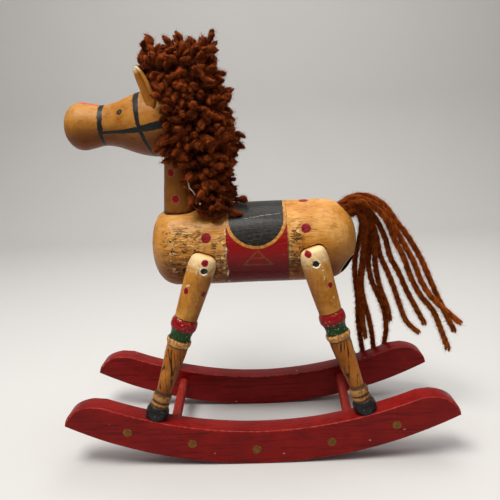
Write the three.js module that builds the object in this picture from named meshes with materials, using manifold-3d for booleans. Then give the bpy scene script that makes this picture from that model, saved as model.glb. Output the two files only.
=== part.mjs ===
// A small painted rocking horse of turned wood: a barrel on four turned legs, pegged to a pair of
// crescent rockers, with a turned neck and head, whittled ears, a mane of yarn on a backing strip and
// a tail of loose yarn strands. Millimetres. The nose points to -X, the left side is -Y, +Z is up.
// The origin is on the floor, under the middle of the rockers.
import * as THREE from "three";
import { mergeVertices } from "three/addons/utils/BufferGeometryUtils.js";
import Module from "manifold-3d";

const wasm = await Module();
wasm.setup();

// Clearances
const GAP = 0.3; // between pieces that touch
const PEG_GAP = 0.3; // round a peg, dowel or nail in its hole

// Rockers, sawn from half-inch board
const ROCKER = {
  thickness: 12.7,
  outerY: 42, // outer face of each rocker
  floorRadius: 260,
  floorSteps: 51, // odd, so that one flat step lies level under the middle
  tipX: 119.4,
  topRadius: 246,
  topMiddleZ: 22.2,
  topEndX: 94,
  shoulderX: 103,
  shoulderZ: 41.4,
};

// Crossbars, quarter-inch dowel let into the rockers' inner faces
const CROSSBAR = { radius: 3.2, height: 19.6, depthInRocker: 7 };
// X at the left and at the right rocker
const CROSSBAR_ENDS = { front: [-54.6, -57.4], rear: [54.8, 57.4] };

// Barrel, two-inch stock turned about X
const BARREL = {
  radius: 25.4,
  axisZ: 130.3,
  frontX: -63.2,
  rearX: 63.8,
  frontRound: 17,
  rearRound: 22,
  sides: 48,
};

// Legs, turned, from the hoof up
const LEG = { length: 108.5, hoofY: 35.65, hipY: 28, hipRise: 101, sides: 24 };
const LEGS = {
  leg_front_left: { side: -1, hoofX: -64.2, hipX: -27.4, bow: 0, nailX: 2.6 },
  leg_front_right: { side: 1, hoofX: -66.6, hipX: -27.4, bow: 0, nailX: 2.6 },
  leg_hind_left: { side: -1, hoofX: 64.4, hipX: 33.8, bow: -1.6, nailX: -0.8 },
  leg_hind_right: { side: 1, hoofX: 64.4, hipX: 33.8, bow: -1.6, nailX: -0.8 },
};
const LEG_PROFILE = [
  // radius, distance from the hoof's sole along the leg
  [6.4, -4],
  [6.9, 0],
  [7.0, 2.4],
  [6.6, 4.8],
  [5.8, 7.4],
  [5.1, 8.2],
  [5.6, 9.2],
  [5.5, 10.4],
  [4.9, 11.3],
  [5.6, 12.4],
  [5.8, 13.8],
  [5.4, 15.6],
  [4.3, 17.2],
  [4.5, 20],
  [5.4, 31],
  [6.4, 44],
  [6.6, 48.4],
  [7.4, 50.2],
  [7.4, 52],
  [6.5, 53.2],
  [6.4, 56],
  [7.0, 58.6],
  [7.8, 60.4],
  [7.9, 62.4],
  [7.6, 64.4],
  [6.9, 65.6],
  [7.1, 70],
  [7.6, 80],
  [8.2, 92],
  [8.3, 98],
  [7.7, 102.4],
  [6.2, 104.8],
  [4.2, 105.5],
];

// Fixings
const HIP_NAIL = {
  radius: 1.3,
  headRadius: 2.1,
  headHeight: 1.1,
  length: 22,
  pointLength: 3,
  pointRadius: 0.3,
  alongLeg: 97.4, // from the sole
  legRadius: 8.2, // of the leg there
  sunk: 1.3,
};
const HIP_SCOOP = { start: 60, radius: 9.4, straight: 39, topRadius: 8.2, length: 46.8 };
const HOOF_DOWEL = { radius: 2.4, inLeg: 9, inRocker: 8 };
const NECK_DOWEL = { radius: 4, half: 9, lowerZ: 151.4, upperZ: 189.5 };

// Neck, leaning back, between a flat seat on the barrel and the underside of the head
const NECK = {
  radius: 11,
  seatX: -44.3,
  seatZ: 151.4,
  seatRise: 0.06,
  seatRadius: 14.3,
  lean: 0.085,
  spare: 6, // below the seat, cut off by it
  length: 44,
  sides: 32,
};

// Head, turned about X
const HEAD = { axisZ: 206, sides: 40, steps: 32 };
const HEAD_PROFILE = [
  // x, radius, from the nose to the poll
  [-110.8, 0],
  [-110.4, 4.6],
  [-108.2, 9.6],
  [-104.6, 13.0],
  [-100.4, 14.2],
  [-94.6, 13.4],
  [-87.0, 12.0],
  [-79.0, 13.3],
  [-70.0, 16.7],
  [-62.0, 19.0],
  [-54.0, 19.9],
  [-45.0, 18.8],
  [-37.5, 14.6],
  [-33.0, 8.0],
  [-31.6, 0],
];

// Ears, whittled from half-round stock
const EAR = {
  length: 28,
  width: 7.6,
  thickness: 3.8,
  round: 0.9,
  baseX: -53.6,
  baseY: 17.4,
  baseZ: 211,
  leanX: -0.36,
  leanY: -0.12,
};

// Mane: a backing strip down the neck, and the pile of yarn on it
const STRIP = { halfWidth: 6, thickness: 1.2 };
const MANE = { flatHalfWidth: 11, roundWidth: 9.6, roundSize: 6.6, inset: 2.4, steps: 44 };
const MANE_OUTLINE = [
  // side view, x and z, round the pile from the forelock over the crest and down to the saddle
  [-60.5, 232],
  [-62, 239],
  [-55, 244],
  [-46, 249],
  [-34, 250.5],
  [-18, 246],
  [-8, 238],
  [-6, 222],
  [-7, 204],
  [-12, 190],
  [-10, 178],
  [-12, 162],
  [-22, 154],
  [-33, 158],
  [-37, 170],
  [-43, 182],
  [-46, 196],
  [-47, 212],
  [-52, 222],
];

// Tail: strands of yarn packed with a glued plug into a hole in the rump
const TAIL_HOLE = { radius: 6.6, depth: 15, clear: 12, x: 57.3, z: 148.3, rise: 0.675 };
const TAIL_PLUG = { radius: 6.3, length: 13, sunk: 0.6 };
const STRAND = { radius: 1.35, sides: 8, step: 7 };

const STRANDS = [
  // way points of each strand, from the rump down to its free end
  [[60.7, 1.8, 145.4], [63.9, 2.9, 146.3], [67, 4.8, 143.8], [69, 6.4, 138.4], [68.5, 8.8, 129],
    [66.5, 13.5, 116.5], [66.5, 18, 105], [68.5, 23.5, 90.5], [70.5, 29, 78],
    [71.5, 34.5, 64.5], [74, 41, 48], [77, 47, 33], [79, 51, 20]],
  [[60.7, -1.8, 145.4], [63.9, -3, 146.4], [67, -4.2, 144.6], [69.2, -2.8, 139.4],
    [69.7, 0.8, 131.5], [70, 6.5, 120], [70, 11, 109.5], [69.5, 16.5, 97], [71, 21, 85.5],
    [73, 26, 73.5], [75, 32, 59], [77.5, 37, 46]],
  [[59.3, 4.3, 147.5], [62.6, 6.9, 148.8], [66.4, 11, 147.8], [70.2, 14.4, 144],
    [73.3, 16, 139], [74.5, 16.2, 131], [74.5, 18.5, 118], [73, 22, 106.5], [72.5, 26.5, 92],
    [75, 31, 78.5], [79, 36, 65], [83, 42, 48.5], [85.5, 47.5, 33.5], [87, 51.5, 21]],
  [[59.2, 0, 147.7], [62.7, 1.2, 149.9], [66.8, 3.8, 149.8], [70.8, 7, 145.4], [75, 10, 134.5],
    [76, 13.5, 121], [75.5, 18, 109.5], [79, 24, 94.5], [84.5, 29.5, 82], [90, 35, 69],
    [93.5, 41.5, 52], [93.5, 47, 37.5], [94, 51, 25]],
  [[59.3, -4.3, 147.5], [62.6, -4.5, 149.8], [66.4, -3.9, 150.2], [70.4, -1.6, 146.8],
    [74.5, 3, 137.5], [77.5, 8.5, 124.5], [79, 13.5, 112.5], [81.5, 19, 100.5],
    [85.5, 24.5, 87.5], [91.5, 30.5, 73], [95, 36, 59.5]],
  [[57.3, 4.3, 150.5], [61, 5.3, 153], [65.6, 7.2, 153.2], [70.4, 9.6, 149.4],
    [76, 11.5, 139.5], [80, 12.5, 126.5], [82.5, 14, 115], [88.5, 17, 101.5], [93.5, 20, 89.5],
    [98, 23, 77], [104.5, 26.5, 62], [114.5, 30, 51.5]],
  [[57.4, 0, 150.3], [61.5, -0.2, 152.8], [66, 0, 152.6], [70.8, 1, 148.8], [77.5, 3.5, 140.5],
    [84, 6.5, 127.5], [88, 9, 114.5], [94.5, 12, 102.5], [100.5, 15, 89.5], [108.5, 18.5, 74.5],
    [116, 22, 61]],
  [[57.3, -4.3, 150.5], [61.2, -5.4, 153], [66, -6.3, 153.8], [73, -6.1, 151],
    [81.5, -4, 142.5], [88, -1, 128.5], [94.5, 1, 116], [100.5, 4, 101], [107.5, 6, 88],
    [116.5, 8.5, 76.5], [124, 11.5, 60], [130, 14, 45]],
  [[55.9, 1.8, 152.6], [60.2, 2.3, 155.1], [65.6, 2.8, 156.3], [71.5, 3.1, 155.9],
    [81.5, 4, 150.3], [91, 5, 138], [99, 6, 127], [107, 7.5, 113.5], [113, 8.5, 100.5],
    [119, 10, 87.5], [126.5, 11.5, 72], [133.5, 13, 58.5]],
  [[55.9, -1.8, 152.6], [60, -2.4, 155], [65, -2.9, 155.8], [70.5, -2.9, 154.2],
    [79.5, -1.5, 148.5], [87.5, -0.5, 136.5], [94, 0.5, 125.5], [101, 1, 112.5],
    [106, 1.5, 100], [113, 2.5, 88.5], [124, 3, 77.5], [134, 4, 68]],
];

// A blind hole, low on the left of the rump
const RUMP_HOLE = {
  radius: 6.4,
  depth: 4.5,
  clear: 8,
  mouth: [57, -11, 116.5],
  direction: [0.65, -0.44, -0.62],
};

const COLOURS = {
  rockerRed: [0x8e1512, 0.55],
  crossbarRed: [0x9c2a20, 0.6],
  ochreWood: [0xb5803f, 0.5],
  legWood: [0xb9853f, 0.5],
  nailSteel: [0x3c352c, 0.6],
  dowelWood: [0xd2b27c, 0.8],
  yarn: [0x5a2210, 0.95],
  strip: [0x4a3020, 0.9],
};

const UP = new THREE.Vector3(0, 1, 0); // the axis that a turned piece is made about
const horse = new THREE.Group();

function paint(name) {
  const [color, roughness] = COLOURS[name];
  return new THREE.MeshStandardMaterial({ color, roughness, metalness: 0 });
}

function piece(name, geometry, colour) {
  const mesh = new THREE.Mesh(geometry, paint(colour));
  mesh.name = name;
  return mesh;
}

// A mesh as a solid in world space.
function worldSolid(mesh) {
  mesh.updateWorldMatrix(true, false);
  const geometry = mesh.geometry.clone().applyMatrix4(mesh.matrixWorld);
  geometry.deleteAttribute("normal");
  geometry.deleteAttribute("uv");
  const merged = mergeVertices(geometry, 1e-4);
  const mirrored = mesh.matrixWorld.determinant() < 0;
  const triVerts = new Uint32Array(merged.index.array);
  if (mirrored) triVerts.reverse();
  const vertProperties = merged.attributes.position.array;
  return new wasm.Manifold(new wasm.Mesh({ numProp: 3, vertProperties, triVerts }));
}

// Puts a world-space solid back into a mesh, in the mesh's own frame.
function setSolid(mesh, solid) {
  const { vertProperties, triVerts } = solid.getMesh();
  const geometry = new THREE.BufferGeometry();
  geometry.setAttribute("position", new THREE.BufferAttribute(vertProperties, 3));
  geometry.setIndex(new THREE.BufferAttribute(triVerts, 1));
  mesh.geometry = geometry.applyMatrix4(mesh.matrixWorld.clone().invert());
}

function cut(mesh, ...tools) {
  let solid = worldSolid(mesh);
  for (const other of tools) solid = solid.subtract(worldSolid(other));
  setSolid(mesh, solid);
}

function tool(geometry) {
  return new THREE.Mesh(geometry);
}

// A piece turned about its own Y axis, from pairs of radius and height.
function turned(pairs, sides) {
  const points = pairs.map(([radius, height]) => new THREE.Vector2(radius, height));
  const first = points[0];
  const last = points.at(-1);
  if (first.x > 0) points.unshift(new THREE.Vector2(0, first.y));
  if (last.x > 0) points.push(new THREE.Vector2(0, last.y));
  return new THREE.LatheGeometry(points, sides);
}

// A round bar of one radius, with one end at the point "from", running along "direction".
function bar(radius, length, from, direction, sides = 16) {
  const geometry = new THREE.CylinderGeometry(radius, radius, length, sides);
  geometry.translate(0, length / 2, 0);
  const mesh = tool(geometry);
  mesh.position.copy(from);
  mesh.quaternion.setFromUnitVectors(UP, direction.clone().normalize());
  return mesh;
}

function namedBar(name, colour, ...shape) {
  const mesh = bar(...shape);
  mesh.material = paint(colour);
  mesh.name = name;
  return mesh;
}

function arc(centreX, centreZ, radius, from, to, steps) {
  const points = [];
  for (let i = 0; i <= steps; i++) {
    const angle = from + ((to - from) * i) / steps;
    points.push(new THREE.Vector2(centreX + radius * Math.cos(angle), centreZ + radius * Math.sin(angle)));
  }
  return points;
}

// Rockers

function rockerOutline() {
  const { floorRadius, floorSteps, tipX, topRadius, topMiddleZ, topEndX, shoulderX, shoulderZ } = ROCKER;
  const half = Math.asin(tipX / floorRadius);
  const flat = floorRadius * Math.cos(half / floorSteps); // the middle step lies on the floor
  const down = -Math.PI / 2;
  const floor = arc(0, flat, floorRadius, down - half, down + half, floorSteps);
  const topHalf = Math.asin(topEndX / topRadius);
  const top = arc(0, topMiddleZ + topRadius, topRadius, down + topHalf, down - topHalf, 24);
  const tip = floor.at(-1);
  const crown = new THREE.Vector2(shoulderX, shoulderZ);
  const control = new THREE.Vector2(tip.x - 2, crown.y - 2);
  const shoulder = new THREE.QuadraticBezierCurve(tip, control, crown).getPoints(6).slice(1);
  const otherShoulder = shoulder.map((p) => new THREE.Vector2(-p.x, p.y)).reverse();
  return [...floor, ...shoulder, ...top, ...otherShoulder];
}

function rockerBlank(thickness) {
  const geometry = new THREE.ExtrudeGeometry(new THREE.Shape(rockerOutline()), {
    depth: thickness,
    bevelEnabled: false,
  });
  geometry.translate(0, 0, -thickness / 2);
  return geometry.rotateX(Math.PI / 2);
}

function rocker(name, side) {
  const mesh = piece(name, rockerBlank(ROCKER.thickness), "rockerRed");
  mesh.position.y = side * (ROCKER.outerY - ROCKER.thickness / 2);
  return mesh;
}

// Crossbars

function crossbarLine([leftX, rightX]) {
  const innerY = ROCKER.outerY - ROCKER.thickness;
  const left = new THREE.Vector3(leftX, -innerY, CROSSBAR.height);
  const right = new THREE.Vector3(rightX, innerY, CROSSBAR.height);
  const along = right.clone().sub(left).normalize();
  const start = left.clone().addScaledVector(along, -CROSSBAR.depthInRocker);
  return { start, along, length: left.distanceTo(right) + 2 * CROSSBAR.depthInRocker };
}

function crossbar(name, ends) {
  const { start, along, length } = crossbarLine(ends);
  return namedBar(name, "crossbarRed", CROSSBAR.radius, length, start, along);
}

function crossbarHole(ends) {
  const { start, along, length } = crossbarLine(ends);
  const from = start.clone().addScaledVector(along, -PEG_GAP);
  return bar(CROSSBAR.radius + PEG_GAP, length + 2 * PEG_GAP, from, along);
}

// Barrel

// Half of the outline of a rounded end: from the axis out to the full radius.
function roundedEnd(depth, radius, fullness, steps) {
  const pairs = [];
  for (let i = 0; i <= steps; i++) {
    const angle = (Math.PI / 2) * (i / steps);
    const across = Math.sin(angle) ** (2 / fullness);
    const along = Math.cos(angle) ** (2 / fullness);
    pairs.push([radius * across, depth * (1 - along)]);
  }
  return pairs;
}

function barrelProfile() {
  const { radius, frontX, rearX, frontRound, rearRound } = BARREL;
  const front = roundedEnd(frontRound, radius, 2.5, 9).map(([r, d]) => [r, frontX + d]);
  const rear = roundedEnd(rearRound, radius, 2.15, 9).map(([r, d]) => [r, rearX - d]);
  return [...front, ...rear.reverse()];
}

function barrel() {
  const mesh = piece("body_barrel", turned(barrelProfile(), BARREL.sides), "ochreWood");
  mesh.position.z = BARREL.axisZ;
  mesh.rotation.z = -Math.PI / 2;
  return mesh;
}

// Legs

function legAxis({ side, hoofX, hipX }) {
  const soleZ = ROCKER.topMiddleZ + hoofX ** 2 / (2 * ROCKER.topRadius);
  const sole = new THREE.Vector3(hoofX, side * LEG.hoofY, soleZ);
  const hip = new THREE.Vector3(hipX, side * LEG.hipY, soleZ + LEG.hipRise);
  return { sole, along: hip.sub(sole).normalize() };
}

// The leg's axis as a line that bows by "bow" in X at the middle of the leg.
function bowed(geometry, bow, along) {
  const position = geometry.attributes.position;
  const toWorld = new THREE.Quaternion().setFromUnitVectors(UP, along);
  const sideways = new THREE.Vector3(1, 0, 0).applyQuaternion(toWorld.clone().invert());
  for (let i = 0; i < position.count; i++) {
    const share = THREE.MathUtils.clamp(position.getY(i) / LEG.length, 0, 1);
    const shift = bow * Math.sin(Math.PI * share);
    position.setXYZ(
      i,
      position.getX(i) + sideways.x * shift,
      position.getY(i) + sideways.y * shift,
      position.getZ(i) + sideways.z * shift,
    );
  }
  return geometry;
}

function leg(name, spec) {
  const { sole, along } = legAxis(spec);
  const geometry = bowed(turned(LEG_PROFILE, LEG.sides), spec.bow, along);
  const mesh = piece(name, geometry, "legWood");
  mesh.position.copy(sole);
  mesh.quaternion.setFromUnitVectors(UP, along);
  return mesh;
}

// The scoop in the barrel that a leg's top lies in.
function hipScoop(spec) {
  const { sole, along } = legAxis(spec);
  const start = sole.clone().addScaledVector(along, HIP_SCOOP.start);
  const geometry = turned(
    [
      [HIP_SCOOP.radius, 0],
      [HIP_SCOOP.radius, HIP_SCOOP.straight],
      [HIP_SCOOP.topRadius, HIP_SCOOP.length],
    ],
    LEG.sides,
  );
  const mesh = tool(geometry);
  mesh.position.copy(start);
  mesh.quaternion.setFromUnitVectors(UP, along);
  return mesh;
}

// The nail that pins a leg's top to the barrel, level and square to the barrel's side.
function hipNailLine(spec) {
  const { sole, along } = legAxis(spec);
  const inward = new THREE.Vector3(0, -spec.side, 0);
  const centre = sole.clone().addScaledVector(along, HIP_NAIL.alongLeg);
  centre.x += spec.nailX;
  const start = centre.addScaledVector(inward, HIP_NAIL.sunk - HIP_NAIL.legRadius);
  return { start, inward };
}

function hipNail(name, spec) {
  const { start, inward } = hipNailLine(spec);
  const { radius, headRadius, headHeight, length, pointLength, pointRadius } = HIP_NAIL;
  const geometry = turned(
    [
      [headRadius, 0],
      [headRadius, headHeight],
      [radius, headHeight],
      [radius, length - pointLength],
      [pointRadius, length],
    ],
    12,
  );
  const mesh = piece(name, geometry, "nailSteel");
  mesh.position.copy(start);
  mesh.quaternion.setFromUnitVectors(UP, inward);
  return mesh;
}

function hipNailHoles(spec) {
  const { start, inward } = hipNailLine(spec);
  const outside = start.clone().addScaledVector(inward, -HIP_NAIL.legRadius);
  const deeper = HIP_NAIL.legRadius + PEG_GAP;
  const shank = bar(HIP_NAIL.radius + PEG_GAP, HIP_NAIL.length + deeper, outside, inward, 12);
  const head = bar(HIP_NAIL.headRadius + PEG_GAP, HIP_NAIL.headHeight + deeper, outside, inward, 12);
  return [shank, head];
}

function hoofDowelLine(spec) {
  const { sole, along } = legAxis(spec);
  return { start: sole.clone().addScaledVector(along, -HOOF_DOWEL.inRocker), along };
}

function hoofDowel(name, spec) {
  const { start, along } = hoofDowelLine(spec);
  const length = HOOF_DOWEL.inRocker + HOOF_DOWEL.inLeg;
  return namedBar(name, "dowelWood", HOOF_DOWEL.radius, length, start, along, 12);
}

function hoofDowelHole(spec) {
  const { start, along } = hoofDowelLine(spec);
  const length = HOOF_DOWEL.inRocker + HOOF_DOWEL.inLeg + 2 * PEG_GAP;
  const from = start.addScaledVector(along, -PEG_GAP);
  return bar(HOOF_DOWEL.radius + PEG_GAP, length, from, along, 12);
}

// Neck

// The round flat that is bored into the barrel's top for the neck to stand on.
function neckSeat() {
  const outward = new THREE.Vector3(-NECK.seatRise, 0, 1);
  const middle = new THREE.Vector3(NECK.seatX, 0, NECK.seatZ);
  return bar(NECK.seatRadius, NECK.radius, middle, outward, NECK.sides);
}

// A block that takes away what of the neck lies below that flat.
function belowNeckSeat() {
  const size = 3 * NECK.radius;
  const box = tool(new THREE.BoxGeometry(size, size, size).translate(0, 0, -size / 2));
  box.position.set(NECK.seatX, 0, NECK.seatZ + GAP);
  box.rotation.y = -Math.atan(NECK.seatRise);
  return box;
}

function neckAxis() {
  return new THREE.Vector3(NECK.lean, 0, 1).normalize();
}

function neck() {
  const along = neckAxis();
  const from = new THREE.Vector3(NECK.seatX, 0, NECK.seatZ).addScaledVector(along, -NECK.spare);
  return namedBar("neck", "ochreWood", NECK.radius, NECK.length + NECK.spare, from, along, NECK.sides);
}

// The two dowels in the neck's axis, one into the barrel and one into the head.
function neckDowelLine(middleZ) {
  const along = neckAxis();
  const reach = (middleZ - NECK.seatZ) / along.z - NECK_DOWEL.half;
  const start = new THREE.Vector3(NECK.seatX, 0, NECK.seatZ).addScaledVector(along, reach);
  return { start, along };
}

function neckDowel(name, middleZ) {
  const { start, along } = neckDowelLine(middleZ);
  return namedBar(name, "dowelWood", NECK_DOWEL.radius, 2 * NECK_DOWEL.half, start, along, 12);
}

function neckDowelHole(middleZ) {
  const { start, along } = neckDowelLine(middleZ);
  const from = start.addScaledVector(along, -PEG_GAP);
  return bar(NECK_DOWEL.radius + PEG_GAP, 2 * (NECK_DOWEL.half + PEG_GAP), from, along, 12);
}

// Head

function headShape(extra) {
  const line = new THREE.SplineCurve(HEAD_PROFILE.map(([x, r]) => new THREE.Vector2(r, x)));
  const pairs = line.getPoints(HEAD.steps).map((p) => [Math.max(p.x, 0), p.y]);
  pairs[0][0] = 0;
  pairs.at(-1)[0] = 0;
  const grown = pairs.map(([r, x], i) => {
    const end = i === 0 ? -extra : i === pairs.length - 1 ? extra : 0;
    return [r > 0 ? r + extra : 0, x + end];
  });
  const mesh = piece("head", turned(grown, HEAD.sides), "ochreWood");
  mesh.position.z = HEAD.axisZ;
  mesh.rotation.z = -Math.PI / 2;
  return mesh;
}

// Ears

function ear(name, side, extra = 0) {
  const half = EAR.width / 2 - EAR.round + extra;
  const end = EAR.length - EAR.round + extra;
  const outline = new THREE.Shape();
  outline.moveTo(-half * 0.62, 0);
  outline.lineTo(half * 0.62, 0);
  outline.quadraticCurveTo(half * 1.15, end * 0.42, half * 0.8, end * 0.76);
  outline.quadraticCurveTo(half * 0.5, end, 0, end);
  outline.quadraticCurveTo(-half * 0.7, end * 0.96, -half * 0.86, end * 0.76);
  outline.quadraticCurveTo(-half * 1.05, end * 0.42, -half * 0.62, 0);
  const depth = EAR.thickness - 2 * EAR.round + 2 * extra;
  const geometry = new THREE.ExtrudeGeometry(outline, {
    depth,
    curveSegments: 5,
    bevelThickness: EAR.round,
    bevelSize: EAR.round,
    bevelSegments: 2,
  });
  geometry.translate(0, 0, -depth / 2);
  const mesh = piece(name, geometry, "ochreWood");
  mesh.position.set(EAR.baseX, side * EAR.baseY, EAR.baseZ);
  const along = new THREE.Vector3(EAR.leanX, side * EAR.leanY, 1).normalize();
  const outward = new THREE.Vector3(0.15, side, 0).projectOnPlane(along).normalize();
  const across = along.clone().cross(outward);
  mesh.quaternion.setFromRotationMatrix(new THREE.Matrix4().makeBasis(across, along, outward));
  return mesh;
}

// Mane

// The mane is a tall slab, rounded over to both sides.
function manePile() {
  const points = MANE_OUTLINE.map(([x, z]) => new THREE.Vector2(x, z));
  const edge = new THREE.SplineCurve([...points, points[0]]).getPoints(MANE.steps).slice(0, -1);
  const geometry = new THREE.ExtrudeGeometry(new THREE.Shape(edge), {
    depth: 2 * MANE.flatHalfWidth,
    bevelThickness: MANE.roundWidth,
    bevelSize: MANE.roundSize,
    bevelOffset: -MANE.inset,
    bevelSegments: 4,
  });
  geometry.translate(0, 0, -MANE.flatHalfWidth);
  return piece("mane_pile", geometry.rotateX(Math.PI / 2), "yarn");
}

// The backing strip follows the back of the head and the neck, a little way off the wood.
function stripPath() {
  return new THREE.CatmullRomCurve3(
    [
      new THREE.Vector3(-56, 0, 227.2),
      new THREE.Vector3(-46, 0, 226.4),
      new THREE.Vector3(-36.5, 0, 221.2),
      new THREE.Vector3(-30.4, 0, 212),
      new THREE.Vector3(-29.4, 0, 201),
      new THREE.Vector3(-28.8, 0, 188),
      new THREE.Vector3(-30.2, 0, 172),
      new THREE.Vector3(-31.2, 0, 159.4),
    ],
    false,
    "catmullrom",
    0.5,
  );
}

function backingStrip(name, grow) {
  const halfWidth = STRIP.halfWidth + grow;
  const halfThick = STRIP.thickness / 2 + grow;
  const section = new THREE.Shape();
  section.moveTo(-halfWidth, -halfThick);
  section.lineTo(halfWidth, -halfThick);
  section.lineTo(halfWidth, halfThick);
  section.lineTo(-halfWidth, halfThick);
  const geometry = new THREE.ExtrudeGeometry(section, { steps: 24, extrudePath: stripPath() });
  return piece(name, geometry, "strip");
}

// Tail

function tailAxis() {
  return new THREE.Vector3(1, 0, TAIL_HOLE.rise).normalize();
}

// A bar in the tail hole's axis that ends "outward" of the hole's mouth.
function tailBar(radius, length, outward) {
  const along = tailAxis();
  const mouth = new THREE.Vector3(TAIL_HOLE.x, 0, TAIL_HOLE.z);
  const start = mouth.addScaledVector(along, outward - length);
  return bar(radius, length, start, along, 20);
}

function tailPlug() {
  const mesh = tailBar(TAIL_PLUG.radius, TAIL_PLUG.length, -TAIL_PLUG.sunk);
  mesh.material = paint("yarn");
  mesh.name = "tail_plug";
  return mesh;
}

function strand(name, route) {
  const points = route.map(([x, y, z]) => new THREE.Vector3(x, y, z));
  const path = new THREE.CatmullRomCurve3(points, false, "centripetal");
  const section = new THREE.Shape(
    arc(0, 0, STRAND.radius, 0, 2 * Math.PI, STRAND.sides).slice(0, -1),
  );
  const steps = Math.round(path.getLength() / STRAND.step);
  const geometry = new THREE.ExtrudeGeometry(section, { steps, extrudePath: path });
  return piece(name, geometry, "yarn");
}

function rumpHole() {
  const along = new THREE.Vector3(...RUMP_HOLE.direction).normalize();
  const mouth = new THREE.Vector3(...RUMP_HOLE.mouth);
  const start = mouth.addScaledVector(along, -RUMP_HOLE.depth);
  return bar(RUMP_HOLE.radius, RUMP_HOLE.depth + RUMP_HOLE.clear, start, along, 20);
}

// Assembly

const legSpecs = Object.entries(LEGS);
const lowerDowelHole = neckDowelHole(NECK_DOWEL.lowerZ);
const upperDowelHole = neckDowelHole(NECK_DOWEL.upperZ);

const rockers = new THREE.Group();
const rockerLeft = rocker("rocker_left", -1);
const rockerRight = rocker("rocker_right", 1);
rockers.add(rockerLeft, rockerRight);
rockers.add(crossbar("crossbar_front", CROSSBAR_ENDS.front));
rockers.add(crossbar("crossbar_rear", CROSSBAR_ENDS.rear));
horse.add(rockers);
const crossbarHoles = Object.values(CROSSBAR_ENDS).map(crossbarHole);
for (const mesh of [rockerLeft, rockerRight]) {
  const side = Math.sign(mesh.position.y);
  const ownLegs = legSpecs.filter(([, spec]) => spec.side === side);
  cut(mesh, ...crossbarHoles, ...ownLegs.map(([, spec]) => hoofDowelHole(spec)));
}

const legs = new THREE.Group();
for (const [name, spec] of legSpecs) {
  const mesh = leg(name, spec);
  const ground = tool(rockerBlank(2 * ROCKER.thickness));
  ground.position.set(0, spec.side * LEG.hoofY, GAP);
  cut(mesh, ground, hoofDowelHole(spec), ...hipNailHoles(spec));
  legs.add(mesh);
  legs.add(hipNail(name.replace("leg", "hip_nail"), spec));
  legs.add(hoofDowel(name.replace("leg", "hoof_dowel"), spec));
}
horse.add(legs);

const body = barrel();
cut(
  body,
  neckSeat(),
  lowerDowelHole,
  rumpHole(),
  tailBar(TAIL_HOLE.radius, TAIL_HOLE.depth + TAIL_HOLE.clear, TAIL_HOLE.clear),
  ...legSpecs.map(([, spec]) => hipScoop(spec)),
  ...legSpecs.map(([, spec]) => hipNailHoles(spec)[0]),
);
horse.add(body);

const upper = new THREE.Group();
const head = headShape(0);
const headClearance = headShape(GAP);
const neckPiece = neck();
cut(neckPiece, belowNeckSeat(), headClearance, lowerDowelHole, upperDowelHole);
cut(head, upperDowelHole);
upper.add(head, neckPiece);
upper.add(neckDowel("neck_dowel", NECK_DOWEL.lowerZ));
upper.add(neckDowel("head_dowel", NECK_DOWEL.upperZ));
for (const mesh of [ear("ear_left", -1), ear("ear_right", 1)]) {
  cut(mesh, headClearance);
  upper.add(mesh);
}
const strip = backingStrip("mane_backing", 0);
cut(strip, headClearance);
upper.add(strip);
const mane = manePile();
const neckLength = NECK.length + NECK.spare;
const neckRoom = bar(NECK.radius + GAP, neckLength, neckPiece.position, neckAxis(), NECK.sides);
const alongBarrel = new THREE.Vector3(1, 0, 0);
const barrelStart = new THREE.Vector3(BARREL.frontX, 0, BARREL.axisZ);
const barrelLength = BARREL.rearX - BARREL.frontX;
const barrelRoom = bar(BARREL.radius + GAP, barrelLength, barrelStart, alongBarrel, BARREL.sides);
cut(
  mane,
  headClearance,
  neckRoom,
  barrelRoom,
  backingStrip("", GAP),
  ear("", -1, GAP),
  ear("", 1, GAP),
);
upper.add(mane);
horse.add(upper);

const tail = new THREE.Group();
tail.add(tailPlug());
STRANDS.forEach((route, i) => tail.add(strand(`tail_strand_${String(i + 1).padStart(2, "0")}`, route)));
horse.add(tail);

export default horse;
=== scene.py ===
import math
import random

import bmesh
import bpy
from mathutils import Matrix, Vector, noise


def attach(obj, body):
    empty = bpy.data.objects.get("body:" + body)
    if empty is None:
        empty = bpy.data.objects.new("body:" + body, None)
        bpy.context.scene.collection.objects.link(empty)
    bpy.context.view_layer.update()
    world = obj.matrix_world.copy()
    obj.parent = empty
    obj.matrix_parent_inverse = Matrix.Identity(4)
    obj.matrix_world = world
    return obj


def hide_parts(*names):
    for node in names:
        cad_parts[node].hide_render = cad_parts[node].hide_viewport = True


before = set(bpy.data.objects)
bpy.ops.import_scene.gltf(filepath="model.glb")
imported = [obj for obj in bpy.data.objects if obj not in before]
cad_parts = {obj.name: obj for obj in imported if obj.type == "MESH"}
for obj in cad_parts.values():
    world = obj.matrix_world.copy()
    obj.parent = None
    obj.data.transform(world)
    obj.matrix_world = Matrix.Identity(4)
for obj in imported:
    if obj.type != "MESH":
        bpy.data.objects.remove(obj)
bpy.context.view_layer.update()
scene = bpy.context.scene
scene.view_settings.view_transform = "Standard"
mm = 0.001


# camera, level with the horse, looking along +Y
camera = {
    "place": (8.29, -324.99, 201.66),  # mm
    "right": (0.9986, 0.0226, -0.0477),
    "up": (0.0412, 0.2310, 0.9721),
    "lens": 37.8,
}
lookRight = Vector(camera["right"]).normalized()
lookUp = Vector(camera["up"])
lookUp = (lookUp - lookRight * lookUp.dot(lookRight)).normalized()
lookBack = lookRight.cross(lookUp)
cameraData = bpy.data.cameras.new("camera")
cameraData.lens = camera["lens"]
cameraData.sensor_width = 36
cameraData.clip_start = 0.01
cameraObject = bpy.data.objects.new("camera", cameraData)
turn = Matrix((lookRight, lookUp, lookBack)).transposed().to_4x4()
cameraObject.matrix_world = Matrix.Translation(Vector(camera["place"]) * mm) @ turn
scene.collection.objects.link(cameraObject)
scene.camera = cameraObject


# general helpers

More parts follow.
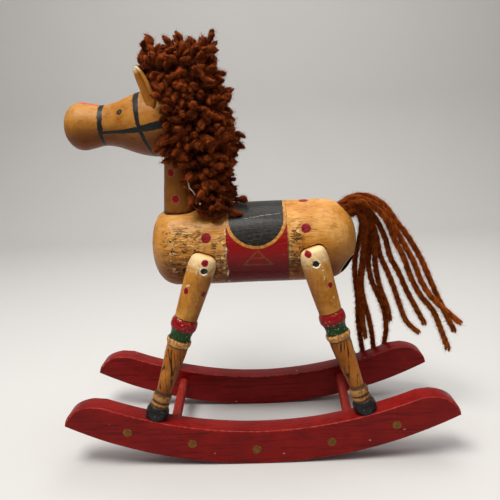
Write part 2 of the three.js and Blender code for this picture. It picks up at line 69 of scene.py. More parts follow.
def makePiece(name, points, faces, smooth=True):
    mesh = bpy.data.meshes.new(name)
    mesh.from_pydata([Vector(point) * mm for point in points], [], faces)
    if smooth:
        mesh.shade_smooth()
    piece = bpy.data.objects.new(name, mesh)
    scene.collection.objects.link(piece)
    return piece


def storeValues(mesh, name, values, kind="FLOAT"):
    layer = mesh.attributes.new(name, kind, "POINT")
    if kind == "FLOAT":
        layer.data.foreach_set("value", values)
    else:
        layer.data.foreach_set("vector", [number for value in values for number in value])


def faceOutwards(piece):
    shape = bmesh.new()
    shape.from_mesh(piece.data)
    bmesh.ops.recalc_face_normals(shape, faces=shape.faces)
    shape.to_mesh(piece.data)
    shape.free()


def bakeModifiers(piece):
    depsgraph = bpy.context.evaluated_depsgraph_get()
    mesh = bpy.data.meshes.new_from_object(piece.evaluated_get(depsgraph))
    piece.modifiers.clear()
    piece.data = mesh


def sharpen(piece, degrees=40):
    piece.data.shade_smooth()
    piece.data.set_sharp_from_angle(angle=math.radians(degrees))


def finishPiece(piece, material, slot, *cadNodes):
    piece.data.materials.clear()
    piece.data.materials.append(material)
    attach(piece, "root")
    if cadNodes:
        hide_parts(*cadNodes)


# a smooth line through points, resampled to even steps (centripetal spline)
def smoothLine(points, step):
    points = [Vector(point) for point in points]
    ends = [points[0] * 2 - points[1], *points, points[-1] * 2 - points[-2]]
    fine = []
    for i in range(1, len(ends) - 2):
        p0, p1, p2, p3 = ends[i - 1:i + 3]
        t1 = max((p1 - p0).length, 1e-6) ** 0.5
        t2 = t1 + max((p2 - p1).length, 1e-6) ** 0.5
        t3 = t2 + max((p3 - p2).length, 1e-6) ** 0.5
        count = max(4, int((p2 - p1).length / step * 3))
        for k in range(count):
            t = t1 + (t2 - t1) * k / count
            a1 = p0 * ((t1 - t) / t1) + p1 * (t / t1)
            a2 = p1 * ((t2 - t) / (t2 - t1)) + p2 * ((t - t1) / (t2 - t1))
            a3 = p2 * ((t3 - t) / (t3 - t2)) + p3 * ((t - t2) / (t3 - t2))
            b1 = a1 * ((t2 - t) / t2) + a2 * (t / t2)
            b2 = a2 * ((t3 - t) / (t3 - t1)) + a3 * ((t - t1) / (t3 - t1))
            fine.append(b1 * ((t2 - t) / (t2 - t1)) + b2 * ((t - t1) / (t2 - t1)))
    fine.append(points[-1])
    along = [0.0]
    for a, b in zip(fine, fine[1:]):
        along.append(along[-1] + (b - a).length)
    count = max(2, round(along[-1] / step))
    line = []
    k = 0
    for i in range(count + 1):
        wanted = along[-1] * i / count
        while k < len(fine) - 2 and along[k + 1] < wanted:
            k += 1
        span = max(along[k + 1] - along[k], 1e-9)
        line.append(fine[k].lerp(fine[k + 1], min(1, max(0, (wanted - along[k]) / span))))
    return line


# a surface turned about an axis; the profile holds (radius, distance along the axis) in mm
def turnedPiece(name, profile, sides, origin, axis, across, swell=None):
    axis = Vector(axis).normalized()
    across = Vector(across)
    across = (across - axis * across.dot(axis)).normalized()
    outwards = axis.cross(across)
    origin = Vector(origin)
    points = []
    for radius, height in profile:
        for k in range(sides):
            angle = 2 * math.pi * k / sides
            c, s = math.cos(angle), math.sin(angle)
            r = radius
            if swell:
                r = radius + swell(c, s, height, radius)
            points.append(origin + across * r * c + outwards * r * s + axis * height)
    rings = len(profile)
    faces = []
    for i in range(rings - 1):
        for k in range(sides):
            a, b = i * sides + k, i * sides + (k + 1) % sides
            faces.append((a, b, b + sides, a + sides))
    for ring, turnOver in ((0, True), (rings - 1, False)):
        middle = len(points)
        points.append(origin + axis * profile[ring][1])
        for k in range(sides):
            a, b = ring * sides + k, ring * sides + (k + 1) % sides
            faces.append((b, a, middle) if turnOver else (a, b, middle))
    return makePiece(name, points, faces)


# keeps each point's place in the piece's own frame, in mm: across, outwards (towards one side), along
def storePlace(piece, origin, axis, across, side):
    axis = Vector(axis).normalized()
    across = Vector(across)
    across = (across - axis * across.dot(axis)).normalized()
    outwards = axis.cross(across)
    if outwards.y * side < 0:
        outwards = -outwards
    places = []
    for vertex in piece.data.vertices:
        offset = vertex.co / mm - Vector(origin)
        places.append(Vector((offset.dot(across), offset.dot(outwards), offset.dot(axis))))
    storeValues(piece.data, "place", places, "FLOAT_VECTOR")


# shader helpers

def addNode(tree, kind, sockets=None, **settings):
    node = tree.nodes.new(kind)
    for key, value in settings.items():
        setattr(node, key, value)
    for key, value in (sockets or {}).items():
        socket = node.inputs[key]
        if isinstance(value, bpy.types.NodeSocket):
            tree.links.new(value, socket)
        elif isinstance(value, tuple) and len(value) == 3 and socket.type == "RGBA":
            socket.default_value = (*value, 1)
        else:
            socket.default_value = value
    return node


def calc(tree, operation, *values, clamp=False):
    return addNode(
        tree, "ShaderNodeMath", dict(enumerate(values)), operation=operation, use_clamp=clamp
    ).outputs[0]


def times(tree, a, b):
    return calc(tree, "MULTIPLY", a, b)


def plus(tree, a, b):
    return calc(tree, "ADD", a, b)


def minus(tree, a, b):
    return calc(tree, "SUBTRACT", a, b)


def inverse(tree, mask):
    return minus(tree, 1.0, mask)


def apart(tree, a, b):
    return calc(tree, "ABSOLUTE", minus(tree, a, b))


def fade(tree, value, low, high, atLow=0.0, atHigh=1.0):
    sockets = {"Value": value, "From Min": low, "From Max": high, "To Min": atLow, "To Max": atHigh}
    return addNode(tree, "ShaderNodeMapRange", sockets, interpolation_type="SMOOTHSTEP").outputs[0]


def fadeOut(tree, value, low, high):
    return inverse(tree, fade(tree, value, low, high))


def mixColour(tree, factor, a, b, blend="MIX"):
    node = addNode(tree, "ShaderNodeMix", data_type="RGBA", blend_type=blend, clamp_factor=True)
    for index, value in ((0, factor), (6, a), (7, b)):
        socket = node.inputs[index]
        if isinstance(value, bpy.types.NodeSocket):
            tree.links.new(value, socket)
        elif index == 0:
            socket.default_value = value
        else:
            socket.default_value = (*value, 1)
    return node.outputs[2]


def stretched(tree, vector, scale):
    return addNode(tree, "ShaderNodeVectorMath", {0: vector, 1: scale}, operation="MULTIPLY").outputs[0]


def speckle(tree, vector, scale, detail=3.0, roughness=0.55, distortion=0.0):
    sockets = {
        "Vector": vector, "Scale": scale, "Detail": detail, "Roughness": roughness,
        "Distortion": distortion,
    }
    return addNode(tree, "ShaderNodeTexNoise", sockets).outputs["Fac"]


def cells(tree, vector, scale, feature="DISTANCE_TO_EDGE", randomness=1.0):
    sockets = {"Vector": vector, "Scale": scale, "Randomness": randomness}
    return addNode(tree, "ShaderNodeTexVoronoi", sockets, feature=feature).outputs["Distance"]


def newMaterial(name):
    material = bpy.data.materials.new(name)
    material.use_nodes = True
    tree = material.node_tree
    shader = tree.nodes["Principled BSDF"]
    return material, tree, shader


def placeOf(tree):
    place = addNode(tree, "ShaderNodeAttribute", attribute_name="place").outputs["Vector"]
    return addNode(tree, "ShaderNodeSeparateXYZ", {0: place}).outputs


def objectPlace(tree):
    metres = addNode(tree, "ShaderNodeTexCoord").outputs["Object"]
    place = stretched(tree, metres, (1000, 1000, 1000))
    parts = addNode(tree, "ShaderNodeSeparateXYZ", {0: place}).outputs
    return place, parts[0], parts[1], parts[2]


def distance(tree, u, v, centreU, centreV, scaleU=1.0):
    du = times(tree, minus(tree, u, centreU), scaleU)
    dv = minus(tree, v, centreV)
    return calc(tree, "SQRT", plus(tree, times(tree, du, du), times(tree, dv, dv)))


def segmentDistance(tree, u, v, start, end):
    (x0, y0), (x1, y1) = start, end
    dx, dy = x1 - x0, y1 - y0
    size = dx * dx + dy * dy
    share = calc(tree, "ADD", times(tree, minus(tree, u, x0), dx / size),
                 times(tree, minus(tree, v, y0), dy / size), clamp=True)
    nearU = plus(tree, times(tree, share, dx), x0)
    nearV = plus(tree, times(tree, share, dy), y0)
    return distance(tree, u, v, nearU, nearV), share


def mixValue(tree, factor, a, b):
    node = addNode(tree, "ShaderNodeMix", {0: factor, 2: a, 3: b}, data_type="FLOAT")
    return node.outputs[0]


def distance3(tree, vector, point):
    node = addNode(tree, "ShaderNodeVectorMath", {0: vector, 1: point}, operation="DISTANCE")
    return node.outputs["Value"]


def lineDistance(tree, vector, point, axis):
    offset = addNode(tree, "ShaderNodeVectorMath", {0: vector, 1: point}, operation="SUBTRACT").outputs[0]
    away = addNode(
        tree,
        "ShaderNodeVectorMath",
        {0: offset, 1: tuple(Vector(axis).normalized())},
        operation="CROSS_PRODUCT",
    ).outputs[0]
    return addNode(tree, "ShaderNodeVectorMath", {0: away}, operation="LENGTH").outputs["Value"]


def anyOf(tree, *masks):
    result = masks[0]
    for mask in masks[1:]:
        result = calc(tree, "MAXIMUM", result, mask)
    return result


def finishShader(
    tree, shader, colour, roughness, height=None, strength=0.5, depth=0.0004, coat=0.0, coatRoughness=0.2
):
    tree.links.new(colour, shader.inputs["Base Color"])
    tree.links.new(roughness, shader.inputs["Roughness"])
    if height is not None:
        bump = addNode(
            tree, "ShaderNodeBump", {"Strength": strength, "Distance": depth, "Height": height}
        )
        tree.links.new(bump.outputs[0], shader.inputs["Normal"])
    shader.inputs["Coat Weight"].default_value = coat
    shader.inputs["Coat Roughness"].default_value = coatRoughness
    shader.inputs["Specular IOR Level"].default_value = 0.12


# ochre stain over pale wood, with grain, cracks, pits and pale dabs; the dabs on the cracked lumps' tops
# are a painted highlight, and faces that look down get painted shade.
# "grain" is the axis the grain runs along.
ochre = {
    "pale": (0.62, 0.315, 0.085),
    "middle": (0.46, 0.185, 0.022),
    "deep": (0.24, 0.074, 0.006),
    "shade": (0.30, 0.14, 0.02),  # painted shade: the colour is darker on faces that look down
    "crack": (0.035, 0.012, 0.004),
    # pale ground for chips and rims; on the cracked lumps' tops it is a painted highlight
    "dab": (0.80, 0.60, 0.32),
    # how much darker the stain is on a piece than on the barrel
    "head": (0.68, 0.62, 0.50),
    "neck": (0.52, 0.43, 0.30),
    "ear": (0.60, 0.50, 0.35),
    "leg": (0.88, 0.82, 0.60),
    "shaft": (0.80, 0.62, 0.40),
}


def ochreWood(tree, place, grain, cracked=None, worn=None):
    along = [0.22 if grain == axis else 1.0 for axis in "xyz"]
    grainPlace = stretched(tree, place, tuple(along))
    clouds = speckle(tree, place, 0.055, 3.0, 0.6)
    grainLines = speckle(tree, grainPlace, 0.55, 4.0, 0.65, 0.6)
    fine = speckle(tree, grainPlace, 2.2, 3.0, 0.7)
    colour = mixColour(tree, fade(tree, clouds, 0.32, 0.68), ochre["middle"], ochre["pale"])
    colour = mixColour(tree, fade(tree, grainLines, 0.5, 0.78, 0.0, 0.7), colour, ochre["deep"])
    colour = mixColour(tree, fade(tree, fine, 0.55, 0.8, 0.0, 0.35), colour, ochre["deep"])
    # painted shade: faces that look down are darkened towards ochre shade
    facing = addNode(tree, "ShaderNodeNewGeometry").outputs["Normal"]
    facing = addNode(tree, "ShaderNodeSeparateXYZ", {0: facing}).outputs[2]
    colour = mixColour(tree, fade(tree, facing, 0.25, -0.6, 0.0, 0.9), colour, ochre["shade"], "MULTIPLY")
    patches = speckle(tree, place, 0.15, 4.0, 0.65)
    colour = mixColour(tree, fade(tree, patches, 0.50, 0.68, 0.0, 0.45), colour, ochre["deep"])
    height = times(tree, fade(tree, grainLines, 0.35, 0.75), -0.25)
    height = minus(tree, height, times(tree, fine, 0.10))
    roughness = fade(tree, speckle(tree, place, 0.35, 3.0), 0.3, 0.7, 0.34, 0.50)
    # scattered dark specks and small pits
    specks = fadeOut(tree, cells(tree, place, 0.33, "F1"), 0.07, 0.13)
    specks = times(tree, specks, fade(tree, speckle(tree, place, 0.12), 0.52, 0.62))
    colour = mixColour(tree, times(tree, specks, 0.75), colour, ochre["crack"])
    height = minus(tree, height, times(tree, specks, 0.5))
    if cracked is not None:
        crackPlace = stretched(tree, place, tuple(0.30 if grain == axis else 1.0 for axis in "xyz"))
        lines = apart(tree, speckle(tree, crackPlace, 0.42, 3.0, 0.6, 1.2), 0.5)
        lines = fadeOut(tree, lines, 0.012, 0.042)
        breaks = fade(tree, speckle(tree, place, 0.30, 2.0), 0.42, 0.52)
        lines = times(tree, times(tree, lines, breaks), cracked)
        lumps = speckle(
            tree,
            stretched(tree, place, tuple(0.5 if grain == axis else 1.0 for axis in "xyz")),
            0.38,
            3.0,
            0.6,
            0.8,
        )
        height = plus(tree, height, times(tree, times(tree, lumps, cracked), 1.6))
        height = minus(tree, height, times(tree, lines, 0.9))
        # painted highlight: the cracked lumps' tops are painted pale
        pale = times(tree, fade(tree, lumps, 0.56, 0.66), times(tree, cracked, 0.55))
        colour = mixColour(tree, pale, colour, ochre["dab"])
        colour = mixColour(tree, times(tree, lines, 0.9), colour, ochre["crack"])
    if worn is not None:
        chips = times(tree, fade(tree, speckle(tree, place, 0.45, 3.0, 0.6), 0.50, 0.58), worn)
        colour = mixColour(tree, chips, colour, ochre["dab"])
    return colour, roughness, height


# painted dot with a slightly uneven, paler rim
paints = {
    "red": (0.20, 0.004, 0.010),
    "redRim": (0.52, 0.15, 0.09),
    "black": (0.012, 0.012, 0.011),
    "gold": (0.50, 0.235, 0.045),
    "girthRed": (0.23, 0.0030, 0.0035),
    "olive": (0.17, 0.10, 0.02),
}


def paintDot(tree, colour, height, u, v, centreU, centreV, radius, wobble, scaleU=1.0):
    away = distance(tree, u, v, centreU, centreV, scaleU)
    away = plus(tree, away, wobble)
    rim = fadeOut(tree, away, radius + 0.05, radius + 0.5)
    dot = fadeOut(tree, away, radius - 0.15, radius + 0.1)
    colour = mixColour(tree, times(tree, rim, 0.45), colour, paints["redRim"])
    colour = mixColour(tree, dot, colour, paints["red"])
    return colour, plus(tree, height, times(tree, dot, 0.25))


print("camera and helpers ready")


# tail: ten strands of plied yarn, from the rump down to their free ends
tail = {
    "step": 0.9,
    "plies": 3,
    "plyRadius": 1.2,
    "plyOffset": 0.72,
    "pitch": 17.0,  # mm per turn of the twist
    "diameter": 3.5,
    "rootDepth": 3.0,  # how far a strand starts inside the plug
    "shadeBodyHighlight": ((0.085, 0.011, 0.0011), (0.320, 0.050, 0.0036), (0.58, 0.140, 0.011)),  # root in painted shade, body, ends in painted highlight
    "fuzzDensity": 1.6,  # hairs per square mm
    "flares": {8: 1.0, 9: 0.6, 10: 0.7},  # how far the plies open at the end, where it isn't 0.5
}
tailRoutes = [
    [
        (60.7, 1.8, 145.4), (63.9, 2.9, 146.3), (67, 4.8, 143.8), (69, 6.4, 138.4), (68.5, 8.8, 129),
        (66.5, 13.5, 116.5), (66.5, 18, 105), (68.5, 23.5, 90.5), (70.5, 29, 78), (71.5, 34.5, 64.5),
        (74, 41, 48), (77, 47, 33), (79, 51, 20),
    ],
    [
        (60.7, -1.8, 145.4), (63.9, -3, 146.4), (67, -4.2, 144.6), (69.2, -2.8, 139.4),
        (69.7, 0.8, 131.5), (70, 6.5, 120), (70, 11, 109.5), (69.5, 16.5, 97), (71, 21, 85.5),
        (73, 26, 73.5), (75, 32, 59), (77.5, 37, 46),
    ],
    [
        (59.3, 4.3, 147.5), (62.6, 6.9, 148.8), (66.4, 11, 147.8), (70.2, 14.4, 144), (73.3, 16, 139),
        (74.5, 16.2, 131), (74.5, 18.5, 118), (73, 22, 106.5), (72.5, 26.5, 92), (75, 31, 78.5),
        (79, 36, 65), (83, 42, 48.5), (85.5, 47.5, 33.5), (87, 51.5, 21),
    ],
    [
        (59.2, 0, 147.7), (62.7, 1.2, 149.9), (66.8, 3.8, 149.8), (70.8, 7, 145.4), (75, 10, 134.5),
        (76, 13.5, 121), (75.5, 18, 109.5), (79, 24, 94.5), (84.5, 29.5, 82), (90, 35, 69),
        (93.5, 41.5, 52), (93.5, 47, 37.5), (94, 51, 25),
    ],
    [
        (59.3, -4.3, 147.5), (62.6, -4.5, 149.8), (66.4, -3.9, 150.2), (70.4, -1.6, 146.8),
        (74.5, 3, 137.5), (77.5, 8.5, 124.5), (79, 13.5, 112.5), (81.5, 19, 100.5), (85.5, 24.5, 87.5),
        (91.5, 30.5, 73), (95, 36, 59.5),
    ],
    [
        (57.3, 4.3, 150.5), (61, 5.3, 153), (65.6, 7.2, 153.2), (70.4, 9.6, 149.4), (76, 11.5, 139.5),
        (80, 12.5, 126.5), (82.5, 14, 115), (88.5, 17, 101.5), (93.5, 20, 89.5), (98, 23, 77),
        (104.5, 26.5, 62), (114.5, 30, 51.5),
    ],
    [
        (57.4, 0, 150.3), (61.5, -0.2, 152.8), (66, 0, 152.6), (70.8, 1, 148.8), (77.5, 3.5, 140.5),
        (84, 6.5, 127.5), (88, 9, 114.5), (94.5, 12, 102.5), (100.5, 15, 89.5), (108.5, 18.5, 74.5),
        (116, 22, 61),
    ],
    [
        (57.3, -4.3, 150.5), (61.2, -5.4, 153), (66, -6.3, 153.8), (73, -6.1, 151), (81.5, -4, 142.5),
        (88, -1, 128.5), (94.5, 1, 116), (100.5, 4, 101), (107.5, 6, 88), (116.5, 8.5, 76.5),
        (124, 11.5, 60), (130, 14, 45),
    ],
    [
        (55.9, 1.8, 152.6), (60.2, 2.3, 155.1), (65.6, 2.8, 156.3), (71.5, 3.1, 155.9), (81.5, 4, 150.3),
        (91, 5, 138), (99, 6, 127), (107, 7.5, 113.5), (113, 8.5, 100.5), (119, 10, 87.5),
        (126.5, 11.5, 72), (133.5, 13, 58.5),
    ],
    [
        (55.9, -1.8, 152.6), (60, -2.4, 155), (65, -2.9, 155.8), (70.5, -2.9, 154.2),
        (79.5, -1.5, 148.5), (87.5, -0.5, 136.5), (94, 0.5, 125.5), (101, 1, 112.5), (106, 1.5, 100),
        (113, 2.5, 88.5), (124, 3, 77.5), (134, 4, 68),
    ],
]


# plies wound round a line; "tip" runs from 0 at the root to 1 at the free end, "shade" differs by strand
def pliedYarn(name, line, plies, plyRadius, plyOffset, pitch, seed, sides=7, flare=0.5):
    rng = random.Random(seed)
    tangents = [
        (line[min(i + 1, len(line) - 1)] - line[max(i - 1, 0)]).normalized() for i in range(len(line))
    ]
    side = tangents[0].orthogonal().normalized()
    along = 0.0
    total = sum((b - a).length for a, b in zip(line, line[1:]))
    frames = []
    for i, point in enumerate(line):
        if i:
            along += (point - line[i - 1]).length
        side = (side - tangents[i] * side.dot(tangents[i])).normalized()
        frames.append((point, side.copy(), tangents[i].cross(side), along))
    points, faces, tips, shades = [], [], [], []
    wander = rng.uniform(0, 100)
    for ply in range(plies):
        plyShade = rng.random()
        base = len(points)
        for point, a, b, s in frames:
            angle = 2 * math.pi * (s / pitch + ply / plies) + 0.8 * noise.noise(
                Vector((s * 0.05, wander, 0))
            )
            loose = max(0, 1 - (total - s) / 15) ** 1.6  # the last 15 mm come untwisted
            spread = 1 + 0.25 * noise.noise(Vector((s * 0.12, wander, ply * 7.0))) + flare * loose
            middle = point + (a * math.cos(angle) + b * math.sin(angle)) * plyOffset * spread
            shrink = min(1.0, 0.45 + (total - s) / 2.2) * (1 - 0.25 * loose)
            radius = plyRadius * shrink * (
                1 + 0.15 * noise.noise(Vector((s * 0.35, wander + 9, ply * 5.0)))
            )
            for k in range(sides):
                turnAngle = 2 * math.pi * k / sides
                points.append(middle + (a * math.cos(turnAngle) + b * math.sin(turnAngle)) * radius)
                tips.append(s / total)
                shades.append(plyShade)
        for i in range(len(frames) - 1):
            for k in range(sides):
                p, q = base + i * sides + k, base + i * sides + (k + 1) % sides
                faces.append((p, q, q + sides, p + sides))
        faces.append(tuple(base + k for k in reversed(range(sides))))
        faces.append(tuple(base + (len(frames) - 1) * sides + k for k in range(sides)))
    piece = makePiece(name, points, faces)
    storeValues(piece.data, "tip", tips)
    storeValues(piece.data, "shade", shades)
    return piece


def yarnMaterial(name, root, body, ends, fuzz):
    material, tree, shader = newMaterial(name)
    place = objectPlace(tree)[0]
    tip = addNode(tree, "ShaderNodeAttribute", attribute_name="tip").outputs["Fac"]
    shade = addNode(tree, "ShaderNodeAttribute", attribute_name="shade").outputs["Fac"]
    mottle = speckle(tree, place, 0.25, 4.0, 0.6)
    fibres = speckle(tree, place, 3.5, 4.0, 0.75, 1.5)
    # painted shade and highlight: dark towards the root, light towards the free end
    colour = mixColour(tree, fade(tree, tip, 0.0, 0.55), root, body)
    colour = mixColour(tree, fade(tree, tip, 0.55, 1.0, 0.0, 0.8), colour, ends)
    colour = mixColour(tree, times(tree, shade, 0.55), colour, ends)
    colour = mixColour(tree, fade(tree, mottle, 0.58, 0.40, 0.0, 0.75), colour, root)
    colour = mixColour(tree, fade(tree, fibres, 0.58, 0.42, 0.0, 0.65), colour, root)
    roughness = fade(tree, fibres, 0.3, 0.7, 0.78, 0.95)
    finishShader(tree, shader, colour, roughness, fibres, 0.8, 0.0006)
    shader.inputs["Specular IOR Level"].default_value = 0.06
    shader.inputs["Sheen Weight"].default_value = fuzz
    shader.inputs["Sheen Roughness"].default_value = 0.5
    shader.inputs["Sheen Tint"].default_value = (0.60, 0.13, 0.03, 1)
    return material


tailYarn = yarnMaterial("tailYarn", *tail["shadeBodyHighlight"], 0.4)
strands = []
tailAxis = Vector((1, 0, 0.675)).normalized()
for number, route in enumerate(tailRoutes, 1):
    line = smoothLine([Vector(route[0]) - tailAxis * tail["rootDepth"], *route], tail["step"])
    strand = pliedYarn(
        f"strand_{number:02d}",
        line,
        tail["plies"],
        tail["plyRadius"],
        tail["plyOffset"],
        tail["pitch"] * (1 + 0.12 * math.sin(number * 2.1)),
        40 + number,
        flare=tail["flares"].get(number, 0.5),
    )
    finishPiece(strand, tailYarn, "yarn", f"tail_strand_{number:02d}")
    length = sum((b - a).length for a, b in zip(line, line[1:]))
    strands.append(strand)
print("tail strands:", len(strands))


# barrel of the body
barrel = {
    "axisZ": 130.3,
    "radius": 25.4,
    "front": -63.2,
    "rear": 63.8,
    "frontRound": (17, 2.5),  # length of the rounding, fullness
    "rearRound": (22, 2.15),
    "sides": 220,
    "saddle": (2.2, 20.7, 16.3, 18.2),  # middle, start of the round bottom, black radius, gold radius
    "girth": (-15.7, 20.3),
    "triangle": (2.5, 40.0, 49.0, 8.5),  # middle, top, bottom, half width
    "scratch": ((-5.4, 19.9), (16.7, 16.7)),
    "split": ((32.5, 28.0), (37.6, 28.9)),
    "hole": (57, -11, 116.5),  # the blind hole low on the rump
    "holeAxis": (0.65, -0.44, -0.62),
    "dots": [(-27.4, 31.2, 2.95), (31.4, 27.7, 2.85), (31.5, 3.1, 2.9)],
}
legSpecs = {
    "front_left": {"side": -1, "hoofX": -64.2, "hipX": -27.4, "bow": 0.0, "nailX": 2.6, "seed": 3},
    "front_right": {"side": 1, "hoofX": -66.6, "hipX": -27.4, "bow": 0.0, "nailX": 2.6, "seed": 11},
    "hind_left": {"side": -1, "hoofX": 64.4, "hipX": 33.8, "bow": -1.6, "nailX": -0.8, "seed": 23},
    "hind_right": {"side": 1, "hoofX": 64.4, "hipX": 33.8, "bow": -1.6, "nailX": -0.8, "seed": 31},
}


def rockerTop(x):
    return 22.24 + x * x / 492


def legAxis(spec):
    sole = Vector((spec["hoofX"], spec["side"] * 35.65, 22.2 + spec["hoofX"] ** 2 / 492))
    hip = Vector((spec["hipX"], spec["side"] * 28, sole.z + 101))
    return sole, (hip - sole).normalized()


def cutter(name, profile, sides, origin, axis):
    axis = Vector(axis).normalized()
    across = Vector((0, 1, 0)) if abs(axis.y) < 0.9 else Vector((1, 0, 0))
    piece = turnedPiece(name, profile, sides, origin, axis, across)
    piece.hide_render = True
    return piece


def carve(piece, cutters):
    for tool in cutters:
        modifier = piece.modifiers.new("carve", "BOOLEAN")
        modifier.operation = "DIFFERENCE"
        modifier.solver = "EXACT"
        modifier.object = tool
    bakeModifiers(piece)
    for tool in cutters:
        bpy.data.objects.remove(tool)


def roundedEnd(depth, radius, fullness, steps):
    pairs = []
    for i in range(steps + 1):
        angle = math.pi / 2 * i / steps
        across = math.sin(angle) ** (2 / fullness)
        along = math.cos(angle) ** (2 / fullness)
        pairs.append((radius * across, depth * (1 - along)))
    return pairs


def evenProfile(profile, step):
    line = smoothLine([(r, s, 0) for r, s in profile], step)
    return [(max(point.x, 0), point.y) for point in line]


# how cracked the stain is: at the chest, in front of the girth and at the rump's front edge
def chestWear(x, v):
    chest = math.exp(-(((x + 41) / 13) ** 4) - (((abs(v) - 40) / 17) ** 4))
    lap = math.exp(-(((x + 20) / 5) ** 4) - (((abs(v) - 48) / 17) ** 4))
    rump = math.exp(-(((x - 25.5) / 5) ** 4) - (((abs(v) - 42) / 18) ** 4))
    return max(chest, lap, rump * 0.9)


def makeBarrel():
    radius = barrel["radius"]
    depth, fullness = barrel["frontRound"]
    front = [(r, barrel["front"] + d) for r, d in roundedEnd(depth, radius, fullness, 40)]
    depth, fullness = barrel["rearRound"]
    rear = [(r, barrel["rear"] - d) for r, d in roundedEnd(depth, radius, fullness, 44)]
    tube = []
    x = front[-1][1]
    while x < rear[-1][1] - 1.0:
        x += 0.8
        tube.append((radius, x))
    profile = front[1:] + tube + rear[::-1][:-1]

    def swell(c, s, x, r):
        v = math.atan2(abs(s), c) * radius
        point = Vector((x * 0.30, v * 0.9, s))
        lumps = noise.fractal(Vector((x * 0.16, r * c * 0.42, r * s * 0.42)), 0.8, 2.0, 4)
        wave = 0.10 * noise.noise(Vector((x * 0.05, c * 1.3, s * 1.3)))
        return wave + 0.46 * lumps * chestWear(x, v) + 0.02 * noise.noise(point)

    piece = turnedPiece(
        "barrel", profile, barrel["sides"], (0, 0, barrel["axisZ"]), (1, 0, 0), (0, 0, 1), swell
    )
    cutters = [cutter("seatCutter", [(14.3, 0), (14.3, 14)], 96, (-44.3, 0, 151.4), (-0.06, 0, 1))]
    cutters.append(cutter("tailCutter", [(6.6, -15), (6.6, 12)], 64, (57.3, 0, 148.3), tailAxis))
    cutters.append(cutter("rumpCutter", [(6.4, -5.5), (6.4, 8)], 64, barrel["hole"], barrel["holeAxis"]))
    for key, spec in legSpecs.items():
        sole, along = legAxis(spec)
        scoop = [(8.75, 60), (8.75, 98.5), (8.4, 102.1), (7.3, 104.8), (5.3, 106.2)]
        cutters.append(cutter(f"scoop_{key}", scoop, 72, sole, along))
    carve(piece, cutters)
    sharpen(piece, 32)
    return piece


barrelTones = {
    "girthRubbed": (0.34, 0.009, 0.006),
    "girthPaintedShade": (0.06, 0.001, 0.001),
    "girthFleck": (0.50, 0.16, 0.07),
    "ground": (0.82, 0.74, 0.62),
    "goldDark": (0.36, 0.13, 0.022),
    "saddle": (0.013, 0.012, 0.010),
    "saddleDust": (0.042, 0.037, 0.029),
    "nick": (0.20, 0.17, 0.13),
    "scratch": (0.42, 0.40, 0.34),
    "cutWoodShade": (0.20, 0.10, 0.035),
    "holeShade": (0.010, 0.005, 0.003),
}


